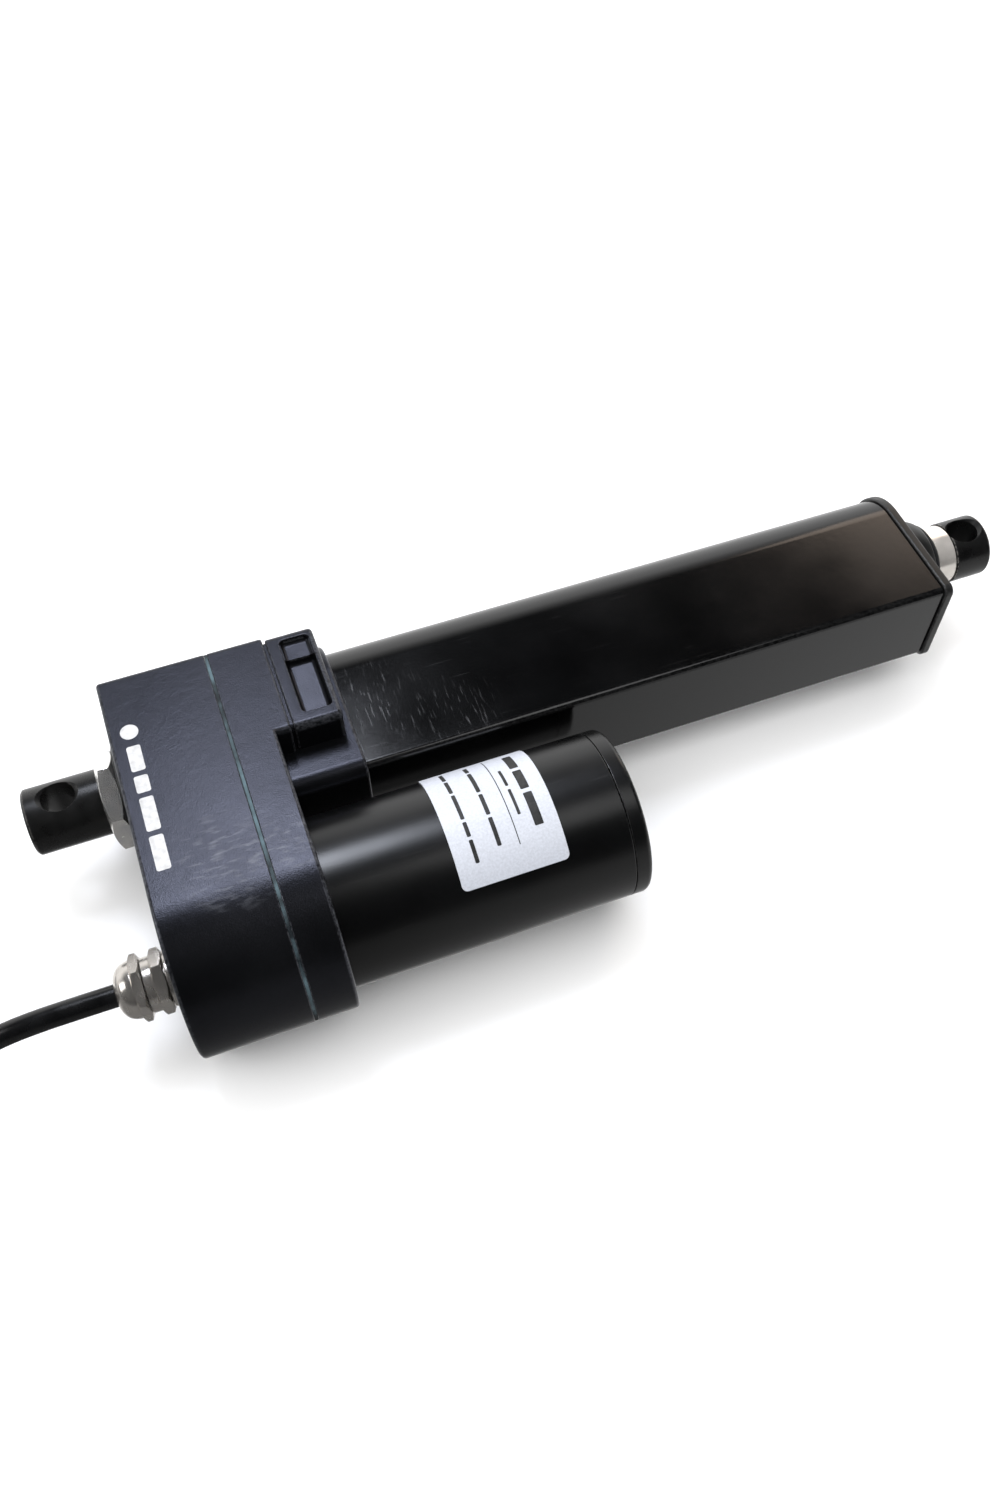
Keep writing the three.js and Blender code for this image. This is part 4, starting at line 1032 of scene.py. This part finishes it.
outer_tube()
front_cap()
for number, place in enumerate(CAP_SCREW_PLACES, 1):
    cap_screw(number, place)
wiper()
piston_rod()
rod_eye()

# ---------------------------------------------------------------- motor and its label


def motor_case():
    wall = 2.5
    can = ring(motor.x0, motor.x1, MOTOR_R - wall, MOTOR_R, 0.4, MOTOR_Y, sides=160)
    piece("motor_case", can, "motor_paint", ["motor_can"])


def motor_cover():
    box = span("motor_end_cap")
    inner = MOTOR_R - 2.9
    seat_r = 9.8
    dish_r = MOTOR_R - 12
    seam = motor.x1 + GAP
    profile = [(box.x0, seat_r), (box.x0, inner), (seam, inner), (seam, MOTOR_R, 0.4),
               (box.x1, MOTOR_R, 2.2), (box.x1, dish_r, 0.5), (box.x1 - 0.5, dish_r - 0.6, 0.5),
               (box.x1 - 0.5, 0)]
    bearing_seat = [(seam + 0.3, 0), (seam + 0.3, seat_r), (box.x0, seat_r)]
    cover = turned(softened(profile + bearing_seat, 0.3, 4), 160, MOTOR_Y)
    piece("motor_cover", cover, "motor_paint", ["motor_end_cap"])


def curved_patch(x0, x1, a0, a1, inner, outer, corner):
    """A thin plate on the motor's case between two angles from +z towards -y, with round corners."""
    columns = [x0 + corner * (1 - math.cos(math.pi / 2 * i / 6)) for i in range(7)]
    columns += [x1 - (x - x0) for x in reversed(columns)]
    rows = 40
    bm = bmesh.new()
    grids = []
    for r in (inner, outer):
        grid = []
        for x in columns:
            edge = min(x - x0, x1 - x)
            depth = corner - math.sqrt(max(corner ** 2 - max(corner - edge, 0) ** 2, 0))
            short = math.degrees(depth / outer)
            first, last = a0 + short, a1 - short
            angles = [math.radians(first + (last - first) * i / rows) for i in range(rows + 1)]
            grid.append([bm.verts.new((x, MOTOR_Y - r * math.sin(a), r * math.cos(a))) for a in angles])
        grids.append(grid)
    for grid in grids:
        for left, right in zip(grid, grid[1:]):
            for i in range(rows):
                bm.faces.new((left[i], left[i + 1], right[i + 1], right[i]))
    low, high = grids
    border = [[g[0][i] for i in range(rows)] + [column[rows] for column in g[:-1]]
              + [g[-1][rows - i] for i in range(rows)] + [column[0] for column in reversed(g[1:])]
              for g in (low, high)]
    for i in range(len(border[0])):
        j = (i + 1) % len(border[0])
        bm.faces.new((border[0][i], border[0][j], border[1][j], border[1][i]))
    bmesh.ops.recalc_face_normals(bm, faces=bm.faces)
    return bm


def printed(name, marks, ink, sharp=40):
    """All the marks as one piece, in the label's slot but with ink on it."""
    print_layer = bmesh.new()
    for mark in marks:
        mesh = as_mesh("mark", mark)
        print_layer.from_mesh(mesh)
        bpy.data.meshes.remove(mesh)
    piece(name, print_layer, "label", sharp=sharp).data.materials[0] = ink


LABEL_ANGLES = (-58, 48)      # degrees from +z towards -y
# Rows of plain bars where a rating label has its print: x range, then angle ranges.
LABEL_BARS = [
    ((183.4, 187.2), [(-44, -24), (-21, -4), (-1, 22)]),
    ((178.2, 179.5), [(-26, -10), (-7, 12)]),
    ((174.9, 175.3), [(-50, 30)]),
    ((166.0, 167.8), [(-46, -36), (-34, -12), (-10, 6), (8, 27)]),
    ((155.4, 157.1), [(-48, -34), (-32, -18), (-16, 4), (6, 16), (18, 33)]),
]


def rating_label():
    box = span("rating_label")
    face = MOTOR_R + GAP + 0.25
    plate = curved_patch(box.x0, box.x1, *LABEL_ANGLES, MOTOR_R + FLUSH, face, 2.5)
    piece("label_foil", plate, "label", ["rating_label"], sharp=60)
    bars = [curved_patch(x0, x1, a0, a1, face + FLUSH, face + 2 * FLUSH, min(0.5, (x1 - x0) / 3))
            for (x0, x1), ranges in LABEL_BARS for a0, a1 in ranges]
    printed("label_bars", bars, black_ink, sharp=60)


motor_case()
motor_cover()
rating_label()

# ---------------------------------------------------------------- cable gland

GLAND_BORE = CABLE_R + 0.25
DOME_HEX_START = 12.2
DOME_FLATS = 24.6
BODY_FLATS = 24.0
BODY_HEX_START = 20.4
BODY_HEX_END = 25.5
BODY_HEAD_R = 11.6
BODY_THREAD_R = 8.7


def gland_dome():
    x0 = dome.x0
    shell = turned(softened([
        (x0, GLAND_BORE), (x0, 6.6, 0.5), (x0 + 0.9, 8.6, 1.0), (x0 + 2.6, 10.7, 1.2),
        (x0 + 5.2, 11.9, 1.5), (x0 + 7.8, 12.2, 0.5), (x0 + 7.8, GLAND_BORE), (x0, GLAND_BORE)], 0.4),
        96, GLAND_Y)
    hexagon = hex_nut(DOME_FLATS, DOME_HEX_START, dome.x1, GLAND_BORE, GLAND_Y)
    piece("gland_dome", joined(shell, hexagon), "nickel", ["gland_dome_nut"])


def gland_barrel():
    head = ring(gland.x0, BODY_HEX_START + 0.4, GLAND_BORE, BODY_HEAD_R, 0.5, GLAND_Y)
    hexagon = hex_nut(BODY_FLATS, BODY_HEX_START, BODY_HEX_END, GLAND_BORE, GLAND_Y)
    thread = ring(BODY_HEX_END - 0.3, gland.x1, GLAND_BORE, BODY_THREAD_R, 0.3, GLAND_Y)
    piece("gland_barrel", joined(head, hexagon, thread), "nickel", ["gland_body"])


def gland_washer():
    box = span("gland_seal_ring")
    washer = ring(box.x0, box.x1, GLAND_HOLE_R, box.z1, 0.5, GLAND_Y)
    piece("gland_washer", washer, "nickel", ["gland_seal_ring"])


gland_dome()
gland_barrel()
gland_washer()

# ---------------------------------------------------------------- print on the broad side

# A plain dot and a row of plain bars stand where the housing carries white print.
PRINT_X = (35.6, 41.4)
PRINT_DOT = (38.5, -1.5, 3.8)         # x, y, radius
PRINT_BARS = [(-9, -22), (-24.5, -33), (-35.5, -52), (-54.5, -71)]    # where each starts and ends


def housing_print():
    heights = (HALF_WIDTH + FLUSH, HALF_WIDTH + 2 * FLUSH)
    outlines = [rounded_rectangle(*PRINT_X, low, high, 1.0) for high, low in PRINT_BARS]
    x, y, r = PRINT_DOT
    outlines.append(arc(x, y, r, 0, 355, 71))
    marks = [loft([[(u, w, z) for u, w in outline] for z in heights]) for outline in outlines]
    printed("housing_print", marks, white_ink)


housing_print()

# ---------------------------------------------------------------- the pieces kept from CAD

for row in frame["record"]["subparts"]:
    node = frame["nodes"][row["node"]]
    node.data.materials.clear()
    node.data.materials.append(looks[row["material_slot"]])

# ---------------------------------------------------------------- floor, world and lights


def staged(name, mesh, material, **seen_by):
    """A piece of the set: the floor or the backdrop."""
    mesh.materials.append(material)
    obj = linked(name, mesh)
    for kind, seen in seen_by.items():
        setattr(obj, f"visible_{kind}", seen)
    return obj


FLOOR_HALF = 2.2             # metres
BACKDROP_R = 9.0
UNDER_THE_OBJECT = 0.0002


def floor():
    """Pale and matt. Gloss doesn't see it: the lower half of the world stands for it there."""
    corners = [(x * FLOOR_HALF, y * FLOOR_HALF, 0) for x, y in ((-1, -1), (1, -1), (1, 1), (-1, 1))]
    mesh = bpy.data.meshes.new("floor")
    mesh.from_pydata(corners, [], [(0, 1, 2, 3)])
    look = Look("floor", Roughness=0.9, Specular_IOR_Level=0.2)
    tone = look.mixed(look.cloud(0.4, 2), grey(0.86), grey(0.88))
    ground = staged("floor", mesh, look.done(tone), glossy=False)
    ground.location.z = cad_box[0][2] - UNDER_THE_OBJECT


def backdrop():
    """A pale shell all round, which only the camera sees."""
    bm = bmesh.new()
    bmesh.ops.create_icosphere(bm, subdivisions=4, radius=BACKDROP_R)
    look = Look("backdrop", Emission_Color=grey(0.9), Emission_Strength=1.0, Base_Color=grey(0))
    staged("backdrop", as_mesh("backdrop", bm), look.done(),
           glossy=False, diffuse=False, shadow=False, transmission=False)


def softbox(name, place, target, size, radiance, tint=(1, 1, 1), in_gloss=True):
    """An area light with that radiance, pointed at target and unseen by the camera."""
    data = bpy.data.lights.new(name, "AREA")
    data.shape = "RECTANGLE"
    data.size, data.size_y = size
    data.energy = radiance * math.pi * size[0] * size[1]
    data.color = tint
    obj = linked(name, data)
    obj.location = place
    obj.rotation_euler = (Vector(target) - Vector(place)).to_track_quat("-Z", "Y").to_euler()
    obj.visible_glossy = in_gloss
    obj.visible_camera = False


# Radiances that glossy surfaces mirror.
FRONT_FLOOR = 0.2            # the floor on the camera's side
FRONT_FLOOR_RIGHT = 1.1      # its gain towards +x
REAR_FLOOR = 1.25
REAR_WALL = 1.3
DARK_ROOM = 0.02
# Ranges over which one part of the room turns into the next. Each is two values of one coordinate
# of the direction, which is a unit vector.
HORIZON = (-0.02, 0.02)
WALL_TOP = (0.74, 0.42)
WALL_SIDE = (0.2, 0.6)
FLOOR_SIDE = (0.0, 0.4)
FLOOR_RIGHT = (0.05, 1)


def world():
    """A dark room with a pale wall behind the object and a pale floor."""
    made = bpy.data.worlds.new("world")
    made.use_nodes = True
    tree = made.node_tree
    room = Nodes(tree)
    direction = room.node("ShaderNodeTexCoord", {}, output=0)
    x, y, z = (room.node("ShaderNodeSeparateXYZ", {0: direction}, output=axis) for axis in range(3))
    wall = room.times(room.between(y, *WALL_SIDE), room.between(z, *WALL_TOP, 0, REAR_WALL))
    above = room.sum(wall, DARK_ROOM)
    front_floor = room.sum(room.between(x, *FLOOR_RIGHT, 0, FRONT_FLOOR_RIGHT), FRONT_FLOOR)
    rear_share = room.between(y, *FLOOR_SIDE)
    front_share = room.between(y, *FLOOR_SIDE, 1, 0)
    below = room.sum(room.times(rear_share, REAR_FLOOR), room.times(front_share, front_floor))
    upper_half = room.between(z, *HORIZON)
    lower_half = room.between(z, *HORIZON, 1, 0)
    light = room.sum(room.times(lower_half, below), room.times(upper_half, above))
    tree.links.new(light, tree.nodes["Background"].inputs["Color"])
    bpy.context.scene.world = made


floor()
backdrop()
world()
# Each: where it stands, what it points at, its size, its radiance and its tint.
softbox("key", (-0.14, 0.58, 1.38), (-0.12, -0.03, 0), (0.34, 0.48), 18, (0.93, 0.98, 1.1))
softbox("left", (-1.3, 0.1, 0.8), (-0.3, -0.05, 0), (0.5, 0.8), 4)
softbox("fill", (0.1, 0, 1.9), (0.1, 0.001, 0), (4, 4), 2.1, in_gloss=False)
softbox("right_top", (0.36, -0.46, 1.4), (0, -0.04, 0), (0.5, 0.6), 2.0)
softbox("warm_side", (1.3, 1.2, 1.3), (0.1, 0, 0), (0.7, 0.5), 2.7, (1.0, 0.8, 0.65))
bpy.context.scene.view_settings.view_transform = "Standard"
